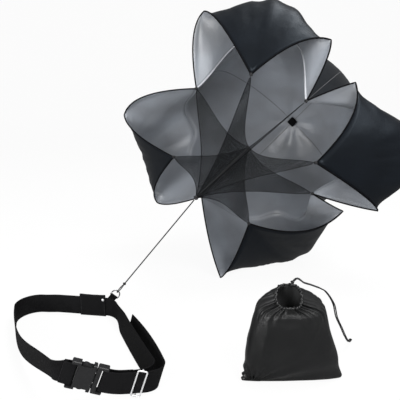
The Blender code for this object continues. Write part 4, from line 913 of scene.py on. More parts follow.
    def ripple(self, plan: PetalPlan, across: float, along: float) -> float:
        """Return how far a petal's folds stand out at a place."""
        inside = sin(pi * along) ** 2 * (1.0 - across**4)
        height = self.fold_height * inside * sin(pi * self.fold_count * across + 3.0 * along)
        height += plan.ridge * max(0.0, 1.0 - abs(across) / self.ridge_reach) * sin(pi * along)
        border = min(1.0, 6.0 * along, 6.0 * (1.0 - along)) * (1.0 - across**8)
        for number, (gather_across, gather_along, count) in enumerate(self.GATHERS):
            off_across = (across - gather_across) * self.half_petal
            off_along = (along - gather_along) * self.petal_length
            reach = math.hypot(off_across, off_along)
            angle = math.atan2(off_along, off_across)
            fade = reach / (reach + self.gather_start) * math.exp(-reach / self.gather_fade)
            height += plan.pleats * fade * cos(count * angle + number) * border
        seed = sum(ord(letter) for letter in plan.name)
        creased = noise.noise(Vector((across * 3.1, along * 2.2, seed)))
        return height + self.petal_creases * (0.25 - abs(creased)) * border

    def make_petals(self) -> None:
        """Build each petal and the taped hem round it."""
        axis = self.matrix @ Vector((0.0, 0.0, -0.12))
        for plan in PETALS:
            name = plan.name
            grid = [[self.world(point) for point in line] for line in self.petal_grid(plan)]
            item = Maker.cloth(f"{name}_petal_cloth", grid, self.cloth, lambda point: axis - point)
            self.dress(item, Body.CANOPY, "canopy_inner canopy_outer", f"{name}_petal")
            for number, (half, sign) in enumerate((("first", -1.0), ("second", 1.0))):
                line = [self.side(plan, number, step / 24) for step in range(24)]
                line += [self.outer(plan, sign * (1.0 - step / 30)) for step in range(31)]
                hem = Maker.rope(f"{name}_hem_tape_{number}", [self.world(point) for point in line],
                                 self.hem * self.hem_loft, squeeze=self.hem_flatness)
                self.dress(hem, Body.CANOPY, "hem_tape", f"{name}_hem_{half}")

    def flat_panel(self, across: float, up: float) -> Vector:
        """Return a point of the ruled surface between the panel's seams."""
        upper_right, upper_left, lower_left, lower_right = (self.ties[name] for name in self.PANEL)
        right = self.root("lower_right", "upper_right", (up + 1.0) / 2)
        left = self.root("upper_left", "lower_left", (1.0 - up) / 2)
        top = self.root("upper_right", "upper_left", (1.0 - across) / 2)
        bottom = self.root("lower_left", "lower_right", (across + 1.0) / 2)
        a, b = (across + 1.0) / 2, (up + 1.0) / 2
        ruled = left * (1.0 - a) + right * a + bottom * (1.0 - b) + top * b
        corners = (
            lower_left * (1.0 - a) * (1.0 - b)
            + lower_right * a * (1.0 - b)
            + upper_left * (1.0 - a) * b
            + upper_right * a * b
        )
        return ruled - corners

    def panel_point(self, across: float, up: float, creased: bool = True) -> Vector:
        """Return a point of the centre panel, which swells back to its apex."""
        lift = Vector(self.apex) - self.flat_panel(0.0, 0.0)
        inside = (1.0 - across**2) * (1.0 - up**2)
        point = self.flat_panel(across, up) + lift * inside
        point += outward(point) * self.BULGE_SCALE * self.panel_swell * abs(across * up) * inside
        if creased:
            angle, reach = math.atan2(up, across), math.hypot(across, up)
            star = cos(8.0 * angle + 0.6) * ease(reach / 0.25) * max(0.0, 1.0 - reach / 1.1)
            rumple = 0.3 - abs(noise.noise(Vector((across * 3.4, up * 3.4, 7.0))))
            deep = (self.apex_folds * star + self.panel_creases * rumple) * min(1.0, 2.5 * inside)
            point += Vector((0.0, 0.0, -deep))
        return point

    def make_panel(self) -> None:
        """Build the centre panel, its seams, its ribs and the patch over its apex."""
        places = [2.0 * step / self.panel_steps - 1.0 for step in range(self.panel_steps + 1)]
        grid = [[self.world(self.panel_point(across, up)) for across in places] for up in places]
        mouth = self.matrix @ Vector((0.0, 0.0, 0.1))
        item = Maker.cloth("centre_panel_cloth", grid, self.cloth, lambda point: mouth - point)
        self.dress(item, Body.CANOPY, "canopy_inner canopy_outer", "centre_panel")
        for number, name in enumerate(("right", "top", "left", "bottom")):
            first, second = self.PANEL[number - 1], self.PANEL[number]
            line = [self.world(self.root(first, second, step / 40)) for step in range(41)]
            # Only the top seam gets the pale tape; its extra paleness over the other seams is painted
            # glow of the light behind it
            pale = name == "top"
            width, finish = (self.seam_width, "pale_seam_painted_glow") if pale else (self.hem, "canopy_inner")
            seam = Maker.rope(f"{name}_seam_tape", line, width, squeeze=self.seam_flatness)
            self.dress(seam, Body.CANOPY, finish, f"{name}_seam")
        for number, (across, up) in enumerate(((1, 1), (-1, 1), (-1, -1), (1, -1))):
            line = [self.over_panel(across * step / 40, up * step / 40, 0.0009) for step in range(1, 40)]
            self.dress(Maker.rope(f"panel_rib_{number}", line, self.rib), Body.CANOPY, "panel_rib")
        steps = 6
        share = self.patch_size / 2 / steps
        span = range(-steps, steps + 1)
        patch = [
            [self.over_panel((row + column) * share, (row - column) * share, 0.0042, False)
             for column in span]
            for row in span
        ]
        item = Maker.cloth("apex_patch_cloth", patch, self.cloth, lambda point: mouth - point, 50.0)
        self.dress(item, Body.CANOPY, "hem_tape hem_tape", "apex_patch")

    def over_panel(self, across: float, up: float, lift: float, creased: bool = True) -> Vector:
        """Return a placed point that stands a little in front of the centre panel."""
        return self.world(self.panel_point(across, up, creased) + Vector((0.0, 0.0, lift)))

    @staticmethod
    def grid_area(grid: Sequence[Ring]) -> float:
        """Return the area of a sheet through a grid of points."""
        return sum(
            (upper[column + 1] - lower[column]).cross(upper[column] - lower[column + 1]).length / 2
            for lower, upper in zip(grid, grid[1:])
            for column in range(len(lower) - 1)
        )

    @staticmethod
    def flat_size(grid: Sequence[Ring]) -> tuple[float, float]:
        """Return a grid's width and length measured along its middle lines."""
        return length_of(grid[len(grid) // 2]), length_of([line[len(line) // 2] for line in grid])

    def net_grid(self, tie: Vector) -> list[Ring]:
        """Return the points of the net between a tie and the corded core."""
        start = (self.tie_knot / 2) / tie.length
        steps = self.net_steps
        grid = []
        for row in range(steps + 1):
            out = start + (1.0 - start) * row / steps
            scoop = self.net_scoop * 4.0 * out * (1.0 - out)
            line = []
            for column in range(steps + 1):
                foot = self.bridle_point * (scoop + (1.0 - 2.0 * scoop) * column / steps)
                sag = self.net_sag * sin(pi * out) * sin(pi * column / steps)
                line.append(self.world(tie + (foot - tie) * out + Vector((0.0, 0.0, -sag))))
            grid.append(line)
        return grid

    def make_net(self) -> None:
        """Build the eight net triangles, their bound edges, ties and the corded core."""
        core = self.bridle_point
        for turn, (name, tie) in enumerate(self.ties.items()):
            grid = self.net_grid(tie)
            item = Maker.cloth(f"{name}_net_cloth", grid, self.net_thickness)
            self.dress(item, Body.CANOPY, "open_net open_net", f"{name}_net")
            for edge, column in (("back", 0), ("front", -1)):
                bound = Maker.rope(f"{name}_net_binding_{edge}", [row[column] for row in grid],
                                   self.binding, squeeze=self.binding_flatness)
                self.dress(bound, Body.CANOPY, "hem_tape")
            knot = Maker.knot(f"{name}_tie_knot", self.world(tie), self.tie_knot, turn * 0.7)
            self.dress(knot, Body.CANOPY, "braided_cord", f"{name}_tie")
        reach = core.length - self.bridle_knot / 2
        line = [self.world(core.normalized() * reach * step / 40) for step in range(41)]
        item = Maker.rope("net_core_cord", line, self.core, strands=3)
        self.dress(item, Body.CANOPY, "braided_cord", "net_core")
        item = Maker.knot("bridle_knot_cord", self.world(core), self.bridle_knot, 1.3)
        self.dress(item, Body.CANOPY, "braided_cord", "bridle_knot")


@dataclass
class Tether(Assembly):
    """The tether, its knotted loop on the ring, the ring and the tab that holds it."""

    diameter: float = 0.0030
    knot: float = 0.0080
    knot_x: float = 0.0565
    loop_width: float = 0.0100
    loop_cord: float = 0.0024
    loop_room: float = 0.0004  # room that the pitching loop needs at the ring's bow
    tab_length: float = 0.0200
    tab_width: float = 0.0170
    tab_thickness: float = 0.0018
    wire: float = 0.0028
    ring_width: float = 0.0240
    ring_reach: float = 0.0170
    ring_corner: float = 0.0020
    bridle_knot: float = 0.0120
    gap: float = 0.0003
    squareness: float = 0.8  # how far the loop and the ring's bow are squared

    STITCH = (0.0021, 0.0015, 0.0005)  # pitch, length and width

    def __post_init__(self) -> None:
        """Place the ring's frame."""
        self.matrix = Layout().ring_frame()

    def place(self, x: float, y: float, z: float) -> Vector:
        """Return a place on the tab or the ring in the row frame."""
        return self.matrix @ Vector((x, y, z))

    def route(self) -> list[Vector]:
        """Return the tether's points, from the loop's knot to the canopy's knot."""
        bridle = Layout().canopy_frame() @ Vector(Canopy.bridle)
        knot = self.place(self.knot_x, 0.0, 0.0)
        direction = (bridle - knot).normalized()
        start = knot + direction * (self.knot / 2 + self.gap)
        end = bridle - direction * (self.bridle_knot / 2 + self.gap)
        count = 160
        return [start.lerp(end, step / count) for step in range(count + 1)]

    def loop_route(self) -> list[Vector]:
        """Return the points of the loop, from its knot round the ring's bow and back."""
        bow = self.tab_length + self.ring_reach - self.wire
        inside = bow - self.wire / 2 - self.gap - self.loop_cord / 2 - self.loop_room
        outside = self.knot_x - self.knot / 2 + self.gap
        middle, reach = (inside + outside) / 2, (outside - inside) / 2
        half_width = (self.loop_width - self.loop_cord) / 2
        loop = []
        for step in range(61):
            angle = 2.0 * pi * (0.02 + 0.96 * step / 60)
            across = half_width * squared(sin(angle), self.squareness)
            loop.append(self.place(middle + reach * cos(angle), across, 0.0))
        return loop

    def make_tether(self) -> None:
        """Build the tether, its loop and its knot."""
        points = self.route()
        item = Maker.rope("tether_cord", points, self.diameter, strands=3, sides=14)
        self.dress(item, Body.CANOPY, "braided_cord", "tether")
        loop = self.loop_route()
        item = Maker.rope("tether_loop_cord", loop, self.loop_cord, strands=3)
        self.dress(item, Body.CANOPY, "braided_cord", "tether_loop")
        item = Maker.knot("tether_knot_cord", self.place(self.knot_x, 0.0, 0.0), self.knot, 0.4)
        self.dress(item, Body.CANOPY, "braided_cord", "tether_knot")

    def make_ring(self) -> None:
        """Build the steel ring with its straight bar and round bow."""
        half_width = (self.ring_width - self.wire) / 2
        reach = self.ring_reach - self.wire
        points = []
        for step in range(41):
            angle = radians(90.0 - 180.0 * step / 40)
            shift = reach * max(0.0, cos(angle)) ** self.squareness
            corner = self.ring_corner / 3 if abs(sin(angle)) > 0.995 else 0.0
            height = (half_width - corner) * squared(sin(angle), self.squareness)
            points.append(self.place(self.tab_length + shift, 0.0, height))
        for step in range(1, 12):
            height = (half_width - self.ring_corner / 2) * (2.0 * step / 12 - 1.0)
            points.append(self.place(self.tab_length, 0.0, height))
        item = Maker.rope("tether_ring", points, self.wire, cyclic=True, sides=16)
        self.dress(item, Body.TAB, "ring_steel", "d_ring")

    def make_tab(self) -> None:
        """Build the webbing tab, folded round the ring's bar and sewn to itself."""
        axes = self.matrix.to_3x3()
        rise = axes @ Vector((0.0, 0.0, 1.0))
        around = self.wire / 2 + self.gap + self.tab_thickness * 0.4
        flat = self.tab_thickness / 4
        path = [(-0.004 + 0.0015 * step, -flat) for step in range(14)]
        for step in range(13):
            angle = radians(-140.0 + 280.0 * step / 12)
            path.append((self.tab_length + around * cos(angle), around * sin(angle)))
        path += [(0.0155 - 0.0015 * step, flat) for step in range(14)]
        sections = []
        for index, (x, y) in enumerate(path):
            before, after = path[max(index - 1, 0)], path[min(index + 1, len(path) - 1)]
            forward = axes @ Vector((after[0] - before[0], after[1] - before[1], 0.0)).normalized()
            sections.append((self.place(x, y, 0.0), rise, forward))
        item = Maker.ribbon("tether_tab_webbing", sections, self.tab_width, self.tab_thickness * 0.55)
        self.dress(item, Body.TAB, "belt_webbing", "tether_tab")
        front = axes @ Vector((0.0, -1.0, 0.0))
        surface = -flat - self.tab_thickness * 0.27
        near, far, half = 0.003, 0.013, 0.0065
        corners = ((far, -half), (far, half), (near, -half), (near, half), (far, half))
        line = [(self.place(x, surface, z), front) for x, z in corners]
        self.sew("tether_tab_stitching", line, Body.TAB, *self.STITCH)


@dataclass
class Belt(Assembly):
    """The webbing runs of the waist belt, standing on edge, with their stitching."""

    width: float = 0.0440
    thickness: float = 0.0018
    step: float = 0.0030
    facet_turn: float = 4.0
    housing_left: float = -0.0300
    bar: float = 0.0050
    layer: float = 0.0033
    housing_lead: float = 0.0120
    sewn_length: float = 0.0060
    strap_lead: float = 0.0080
    plug_travel: float = 0.0080
    gap: float = 0.0003
    floor: float = 0.0005
    left_raise: float = 0.240
    sleeve_raise: float = 0.0022
    sleeve_raise_reach: float = 0.040
    sleeve_travel: float = 0.050
    fold_slack: float = 0.0017  # how loosely the webbing is folded round the housing's bar
    level_reach: float = 0.060
    lean_reach: float = 0.080
    right_spread: float = 16.0
    tail_spread: float = 18.0
    spread_reach: float = 0.060
    sleeve_start: float = 0.0880
    sleeve_length: float = 0.0600
    sewn_inset: float = 0.0030  # from the webbing's edge to its stitches
    thread_lift: float = 0.0001

    # Lengths and turns of the belt's stretches, seen from above
    MAIN_RUN = (
        (0.0200, -51.5), (0.3080, -27.3), (0.0869, -117.4), (0.1500, 0.0),
        (0.0380, -59.2), (0.2363, 4.3), (0.0560, -111.7),
    )
    TAIL_RUN = ((0.0148, 0.0), (0.0568, 103.9), (0.1860, 12.9))
    BACK_STRETCHES = 3

    def __post_init__(self) -> None:
        """Work out the runs of the belt in its plan."""
        layout = Layout()
        self.plan = layout.belt_plan()
        self.lift = layout.buckle_lift()
        self.buckle = layout.buckle_frame()
        self.shift = layout.strap_shift()
        self.tilt = radians(layout.buckle_tilt)
        self.spread_front = radians(layout.buckle_lean)
        self.plug_right = layout.plug_right
        self.bend_radius = layout.strap_bend / self.tilt
        self.belt_end = self.strap_lead + self.plug_travel + self.gap
        run = self.strap_place(1.0, 0.0) - self.strap_place(0.0, 0.0)
        self.strap_heading = math.atan2(run.y, run.x)
        edge = self.strap_place(self.belt_end, 0.0).z
        self.strap_edge = edge - self.width / 2 * cos(self.spread_front)
        self.sewn_half = self.width / 2 - self.sewn_inset
        self.back_start = sum(length for length, _ in self.MAIN_RUN[: self.BACK_STRETCHES])
        self.main = self.main_run()

    def strap_place(self, x: float, y: float) -> Vector:
        """Return a place on the level strap, in the belt's plan."""
        return self.lift @ self.shift @ Vector((x, y, 0.0))

    def walk(self, x: float, y: float, heading: float,
             stretches: Sequence[tuple[float, float]]) -> list[tuple[float, float, float]]:
        """Return stations along stretches of even curvature, each a length and a turn."""
        stations = [(x, y, heading)]
        for length, turn in stretches:
            count = max(1, round(length / self.step), round(abs(turn) / self.facet_turn))
            bend = radians(turn) / count / 2
            for _ in range(count):
                heading += bend
                x += length / count * cos(heading)
                y += length / count * sin(heading)
                heading += bend
                stations.append((x, y, heading))
        return stations

    def come_down(self, distance: float) -> float:
        """Return the lower edge's height past the strap's level stretch."""
        drop = self.strap_edge - self.floor
        return self.floor + drop * (1.0 - ease(distance / self.level_reach))

    @staticmethod
    def distances(path: Sequence[tuple[float, float, float]]) -> list[float]:
        """Return each point's distance along a path."""
        along = [0.0]
        for before, after in zip(path, path[1:]):
            along.append(along[-1] + math.dist(before[:2], after[:2]))
        return along

    def main_run(self) -> list[tuple[float, tuple[float, ...]]]:
        """Return the main run's distances and stations, from the housing to the adjuster."""
        start_x = self.housing_left - self.housing_lead
        sewn = self.lift @ Vector((start_x + self.sewn_length, 0.0, 0.0))
        start = self.lift @ Vector((start_x, 0.0, 0.0))
        end = self.strap_place(self.belt_end, self.layer)
        path = self.walk(start.x, start.y, pi, self.MAIN_RUN)
        along = self.distances(path)
        whole = along[-1]
        miss_x, miss_y = end.x - path[-1][0], end.y - path[-1][1]
        sleeve_low = self.back_start + self.sleeve_start - self.sleeve_travel
        sleeve_high = self.back_start + self.sleeve_start + self.sleeve_length
        right_start = self.back_start + self.MAIN_RUN[3][0] + self.MAIN_RUN[4][0]
        half = self.width / 2
        start_height = start.z - half * cos(self.tilt) * cos(self.spread_front) - self.floor
        stations = [(-self.sewn_length, (*sewn, pi, -self.tilt, self.spread_front))]
        for (x, y, heading), distance in zip(path, along):
            closing, left_over = distance / whole, whole - distance
            height = self.floor + start_height * (1.0 - ease(distance / self.left_raise))
            past = max(sleeve_low - distance, distance - sleeve_high)
            height += self.sleeve_raise * (1.0 - ease(past / self.sleeve_raise_reach))
            height += self.come_down(left_over) - self.floor
            lean = -self.tilt * (1.0 - ease(distance / self.lean_reach))
            spread = radians(self.right_spread) * ease((distance - right_start) / self.spread_reach)
            spread += (self.spread_front - spread) * (1.0 - ease(left_over / self.level_reach))
            spread += self.spread_front * (1.0 - ease(distance / self.left_raise))
            middle = height + half * cos(lean) * cos(spread)
            closed = math.atan2(sin(heading) + miss_y / whole, cos(heading) + miss_x / whole)
            heading += math.remainder(closed - heading, 2.0 * pi)
            place = (x + miss_x * closing, y + miss_y * closing, middle, heading, lean, spread)
            stations.append((distance, place))
        return stations

    def tail_run(self) -> list[tuple[float, ...]]:
        """Return the tail's stations, from the adjuster to its cut end."""
        start = self.strap_place(self.belt_end, -self.layer)
        path = self.walk(start.x, start.y, self.strap_heading, self.TAIL_RUN)
        stations = []
        for (x, y, heading), distance in zip(path, self.distances(path)):
            past = max(0.0, distance - self.TAIL_RUN[0][0])
            turn = ease(past / self.level_reach)
            spread = self.spread_front + (radians(self.tail_spread) - self.spread_front) * turn
            middle = self.come_down(past) + self.width / 2 * cos(spread)
            stations.append((x, y, middle, heading, 0.0, -spread))
        return stations

    @staticmethod
    def section(station: Sequence[float], frame: Matrix) -> Section:
        """Return a station's middle, rise and run in the row frame."""
        x, y, z, heading, lean, spread = station
        forward = Vector((cos(heading), sin(heading), 0.0))
        left = Vector((-sin(heading), cos(heading), 0.0))
        rise = (forward * tan(lean) + left * tan(spread) + Vector((0.0, 0.0, 1.0))).normalized()
        axes = frame.to_3x3()
        return frame @ Vector((x, y, z)), axes @ rise, axes @ forward

    def sections(self, stations: Sequence[Sequence[float]], frame: Matrix) -> list[Section]:
        """Return the sections of several stations."""
        return [self.section(station, frame) for station in stations]

    @staticmethod
    def flat_stations(path: Sequence[tuple[float, float, float]],
                      height: float = 0.0) -> list[tuple[float, ...]]:
        """Return the stations of an upright strap along a path of places and headings."""
        return [(x, y, height, heading, 0.0, 0.0) for x, y, heading in path]

    def sewn_line(self, sections: Sequence[Section], heights: Sequence[float],
                  face: float = 1.0) -> SewnLine:
        """Return a stitching line on one face of a strap, at a height for each section."""
        line = []
        for (middle, rise, forward), height in zip(sections, heights):
            side = rise.cross(forward).normalized() * face
            lift = side * (self.thickness / 2 + self.thread_lift)
            line.append((middle + rise * height + lift, side))
        return line

    def make_webbing(self) -> None:
        """Build the main run and the tail with its turned and sewn end."""
        main = self.sections([station for _, station in self.main], self.plan)
        item = Maker.ribbon("belt_strap", main, self.width, self.thickness)
        self.dress(item, Body.BELT, "belt_webbing", "belt_webbing")
        tail = self.sections(self.tail_run(), self.plan)
        item = Maker.ribbon("tail_strap_webbing", tail, self.width, self.thickness)
        self.dress(item, Body.BELT, "belt_webbing", "tail_strap")
        heights = [self.sewn_half * (step / 6 - 1.0) for step in range(13)]
        for number, back in enumerate((2, 4)):
            line = self.sewn_line([tail[-back]] * len(heights), heights)
            self.sew(f"tail_stitching_{number}", line, Body.BELT)

    def make_housing_strap(self) -> None:
        """Build the fold round the housing's bar and the box of stitches that holds it."""
        bar_x = self.housing_left + self.bar + self.fold_slack
        end_x = self.housing_left - self.housing_lead
        end_y = self.thickness + self.gap
        near = [
            (end_x + self.housing_lead * k / 4, -end_y + (end_y - self.layer) * k / 4, 0.0)
            for k in range(5)
        ]
        turn = self.walk(bar_x, -self.layer, 0.0, ((pi * self.layer, 180.0),))
        far = [(x, -y, pi) for x, y, _ in near[::-1]]
        sections = self.sections(self.flat_stations((*near, *turn, *far)), self.buckle)
        item = Maker.ribbon("housing_strap_webbing", sections, self.width, self.thickness)
        self.dress(item, Body.BELT, "belt_webbing", "housing_strap")
        half, front = self.sewn_half, sections[:5]
        rising = [half * (k / 2 - 1.0) for k in range(5)]
        rows = {
            "lower": (front, [-half] * 5),
            "upper": (front, [half] * 5),
            "cross": (front, rising),
            "counter": (front, [-height for height in rising]),
            "end": ([front[0]] * 9, [half * (k / 4 - 1.0) for k in range(9)]),
        }
        for name, (places, heights) in rows.items():
            self.sew(f"housing_stitching_{name}", self.sewn_line(places, heights), Body.BELT)

    def make_plug_strap(self) -> None:
        """Build the fold round the plug's bar, which bends level and runs on to the belt."""
        bar_x = self.plug_right - self.bar
        turn_back = self.walk(bar_x, self.layer, pi, ((pi * self.layer, 180.0),))
        far = []
        bends, leads = 12, 10
        for step in range(bends + 1):
            turn = self.tilt * step / bends
            x = self.plug_right + self.bend_radius * sin(turn)
            far.append((x, self.bend_radius * (1.0 - cos(turn)), turn))
        last_x, last_z, _ = far[-1]
        for step in range(1, leads + 1):
            run = self.belt_end * step / leads
            far.append((last_x + run * cos(self.tilt), last_z + run * sin(self.tilt), self.tilt))
        stations = [(x, self.layer, z, pi, turn, 0.0) for x, z, turn in reversed(far)]
        stations += self.flat_stations(turn_back)
        stations += [(x, -self.layer, z, 2.0 * pi, -turn, 0.0) for x, z, turn in far]
        sections = self.sections(stations, self.buckle)
        item = Maker.ribbon("plug_strap_webbing", sections, self.width, self.thickness)
        self.coat(item, "belt_webbing")
        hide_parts("plug_strap")
        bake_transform(item)
        LOG.info("%s bends between plug and belt", item.name)

    def place(self, distance: float) -> list[float]:
        """Return the main run's station at a distance, between the two nearest."""
        index = max(i for i, (along, _) in enumerate(self.main[:-1]) if along <= distance)
        (near_along, near), (far_along, far) = self.main[index : index + 2]
        share = (distance - near_along) / (far_along - near_along)
        return [a + (b - a) * share for a, b in zip(near, far)]


@dataclass
class Adjuster(Assembly):
    """The wire frame that the strap is doubled back through."""

    offset: float = 0.0255
    skew: float = 17.0
    width: float = 0.0180
    wire: float = 0.0026
    corner: float = 0.0030
    play: float = 0.0026
    centre_bar: float = 0.0027
    knee: float = 0.0016  # height of the bar's bends next to the frame
    gap: float = 0.0003

    def make(self, belt: Belt) -> None:
        """Build the bent wire and its centre bar."""
        matrix = belt.buckle @ belt.shift @ Matrix.Translation((self.offset, 0.0, 0.0))
        matrix = matrix @ turned(self.skew, "Y")
        side_y = -belt.layer - belt.thickness / 2 - self.gap - self.wire / 2
        half_width = (self.width - self.wire) / 2
        half_height = belt.width / 2 + self.play + self.wire / 2
        steps = 8
        points = []
        for quarter, (sign_x, sign_z) in enumerate(((1, 1), (-1, 1), (-1, -1), (1, -1))):
            for step in range(steps + 1):
                angle = radians(90.0 * quarter + 90.0 * step / steps)
                x = sign_x * (half_width - self.corner) + self.corner * cos(angle)
                z = sign_z * (half_height - self.corner) + self.corner * sin(angle)
                points.append(matrix @ Vector((x, side_y, z)))
        item = Maker.rope("adjuster_frame_wire", points, self.wire, cyclic=True, sides=16)
        self.dress(item, Body.ADJUSTER, "steel_wire", "slide_adjuster")
        upper = (
            (0.0, half_height - 2 * self.knee), (-0.0002, half_height - self.knee),
            (side_y * 0.5, half_height - 0.0001), (side_y, half_height),
        )
        bar = [(y, -z) for y, z in upper[::-1]] + [(0.0, 0.0), *upper]
        line = [matrix @ Vector((0.0, y, z)) for y, z in bar]
        item = Maker.rope("adjuster_centre_bar", line, self.centre_bar, sides=14)
        self.dress(item, Body.ADJUSTER, "steel_wire")


@dataclass
class Sleeve(Assembly):
    """The sewn sleeve on the back of the belt, its anchor strip and rivet."""

    length: float = 0.0600
    wall: float = 0.0012
    slack: float = 0.0040
    gap: float = 0.0003
    anchor_height: float = 0.0180
    anchor_length: float = 0.0470
    rivet: float = 0.0060
    rivet_height: float = 0.0014
    rivet_inset: float = 0.0050
    seam_inset: float = 0.0025  # from the sleeve's ends to its stitches
    anchor_seam: float = 0.0065  # from the strip's middle to its stitches

    STITCH = (0.0026, 0.0018, 0.0006)  # pitch, length and width
    DOME = ((1.0, 0.0), (1.0, 0.35), (0.93, 0.62), (0.75, 0.86), (0.5, 0.96), (0.2, 1.0), (0.02, 1.0))

    def make(self, belt: Belt) -> None:
        """Build the sleeve's cloth, stitching, strip and rivet."""
        middle = belt.back_start + belt.sleeve_start + belt.sleeve_length / 2
        x, y, z, heading = belt.place(middle)[:4]
        local = Matrix.Translation((x, y, z)) @ Matrix.Rotation(heading, 4, "Z")
        matrix = belt.plan @ local
        inner_y = belt.thickness / 2 + self.gap + self.wall / 2
        inner_z = belt.width / 2 + self.gap
        top, bottom = inner_z + self.slack + self.wall / 2, -inner_z - self.wall / 2
        half = self.length / 2
        arc = [pi * index / 6 for index in range(1, 6)]
        grid = []
        steps = 40
        for step in range(steps + 1):
            along = half * (2.0 * step / steps - 1.0)
            sag = 0.0007 * sin(pi * step / steps)
            sag += 0.0004 * noise.noise(Vector((along * 90, 2.0, 0.5)))
            tall = top - sag - bottom
            ring = [(-inner_y, bottom + tall * (k / 13)) for k in range(14)]
            ring += [(-inner_y * cos(angle), top - sag + 0.0006 * sin(angle)) for angle in arc]
            ring += [(inner_y, top - sag - tall * (k / 13)) for k in range(14)]
            ring += [(inner_y * cos(angle), bottom - 0.0003 * sin(angle)) for angle in arc]
            grid.append([matrix @ Vector((along, y, z)) for y, z in ring])
        item = Maker.loft("sleeve_cloth", grid, caps=False)
        Maker.thicken(item, self.wall * 0.8)
        self.dress(item, Body.SLEEVE, "belt_webbing belt_webbing", "belt_sleeve")
        axes = matrix.to_3x3()
        low, high = bottom + belt.sewn_inset, top - belt.sewn_inset
        for name, face in (("outer", 1.0), ("inner", -1.0)):
            normal = axes @ Vector((0.0, face, 0.0))
            surface = face * (inner_y + self.wall / 2)
            for label, end in (("left", -1.0), ("right", 1.0)):
                across = end * (half - self.seam_inset)
                heights = [low + (high - low) * k / 12 for k in range(13)]
                line = [(matrix @ Vector((across, surface, height)), normal) for height in heights]
                self.sew(f"sleeve_stitching_{name}_{label}", line, Body.SLEEVE)
        self.make_anchor(belt, heading, matrix)
        self.make_rivet(belt, matrix)

    def make_anchor(self, belt: Belt, heading: float, matrix: Matrix) -> None:
        """Build the strip along the sleeve's outer face, which bends away to the tab."""
        layout = Layout()
        eye = matrix.inverted() @ layout.ring_frame().translation
        strip_y = belt.thickness / 2 + 2 * self.gap + self.wall + belt.thickness / 2
        turn = radians(layout.ring_yaw) - heading - radians(layout.buckle_yaw)
        turn = (turn + pi) % (2 * pi) - pi
        bend = (eye.y - strip_y) * turn / (1.0 - cos(turn))
        bend_start = eye.x - bend * sin(turn) / turn
        stretches = ((self.anchor_length - bend, 0.0), (bend - self.gap, math.degrees(turn)))
        path = belt.walk(bend_start - self.anchor_length + bend, strip_y, 0.0, stretches)
        sections = belt.sections(belt.flat_stations(path, eye.z), matrix)
        item = Maker.ribbon("anchor_strip_webbing", sections, self.anchor_height, belt.thickness)
        self.dress(item, Body.SLEEVE, "belt_webbing", "anchor_strip")
        flat = sections[1:9]
        for name, height in (("lower", -self.anchor_seam), ("upper", self.anchor_seam)):
            line = belt.sewn_line(flat, [height] * len(flat), -1.0)
            self.sew(f"anchor_stitching_{name}", line, Body.SLEEVE, *self.STITCH)

    def make_rivet(self, belt: Belt, matrix: Matrix) -> None:
        """Build the domed rivet near the sleeve's upper corner."""
        x = self.length / 2 - self.rivet_inset
        y = -belt.thickness / 2 - 2 * self.gap - self.wall
        z = belt.width / 2 - self.rivet_inset
        angles = [2.0 * pi * side / 24 for side in range(24)]
        rings = []
        for share, height in self.DOME:
            reach, top = self.rivet / 2 * share, y - self.rivet_height * height
            places = [(x + reach * cos(angle), top, z + reach * sin(angle)) for angle in angles]
            rings.append([matrix @ Vector(place) for place in places])
        self.dress(Maker.loft("sleeve_rivet_dome", rings), Body.SLEEVE, "steel_wire", "sleeve_rivet")


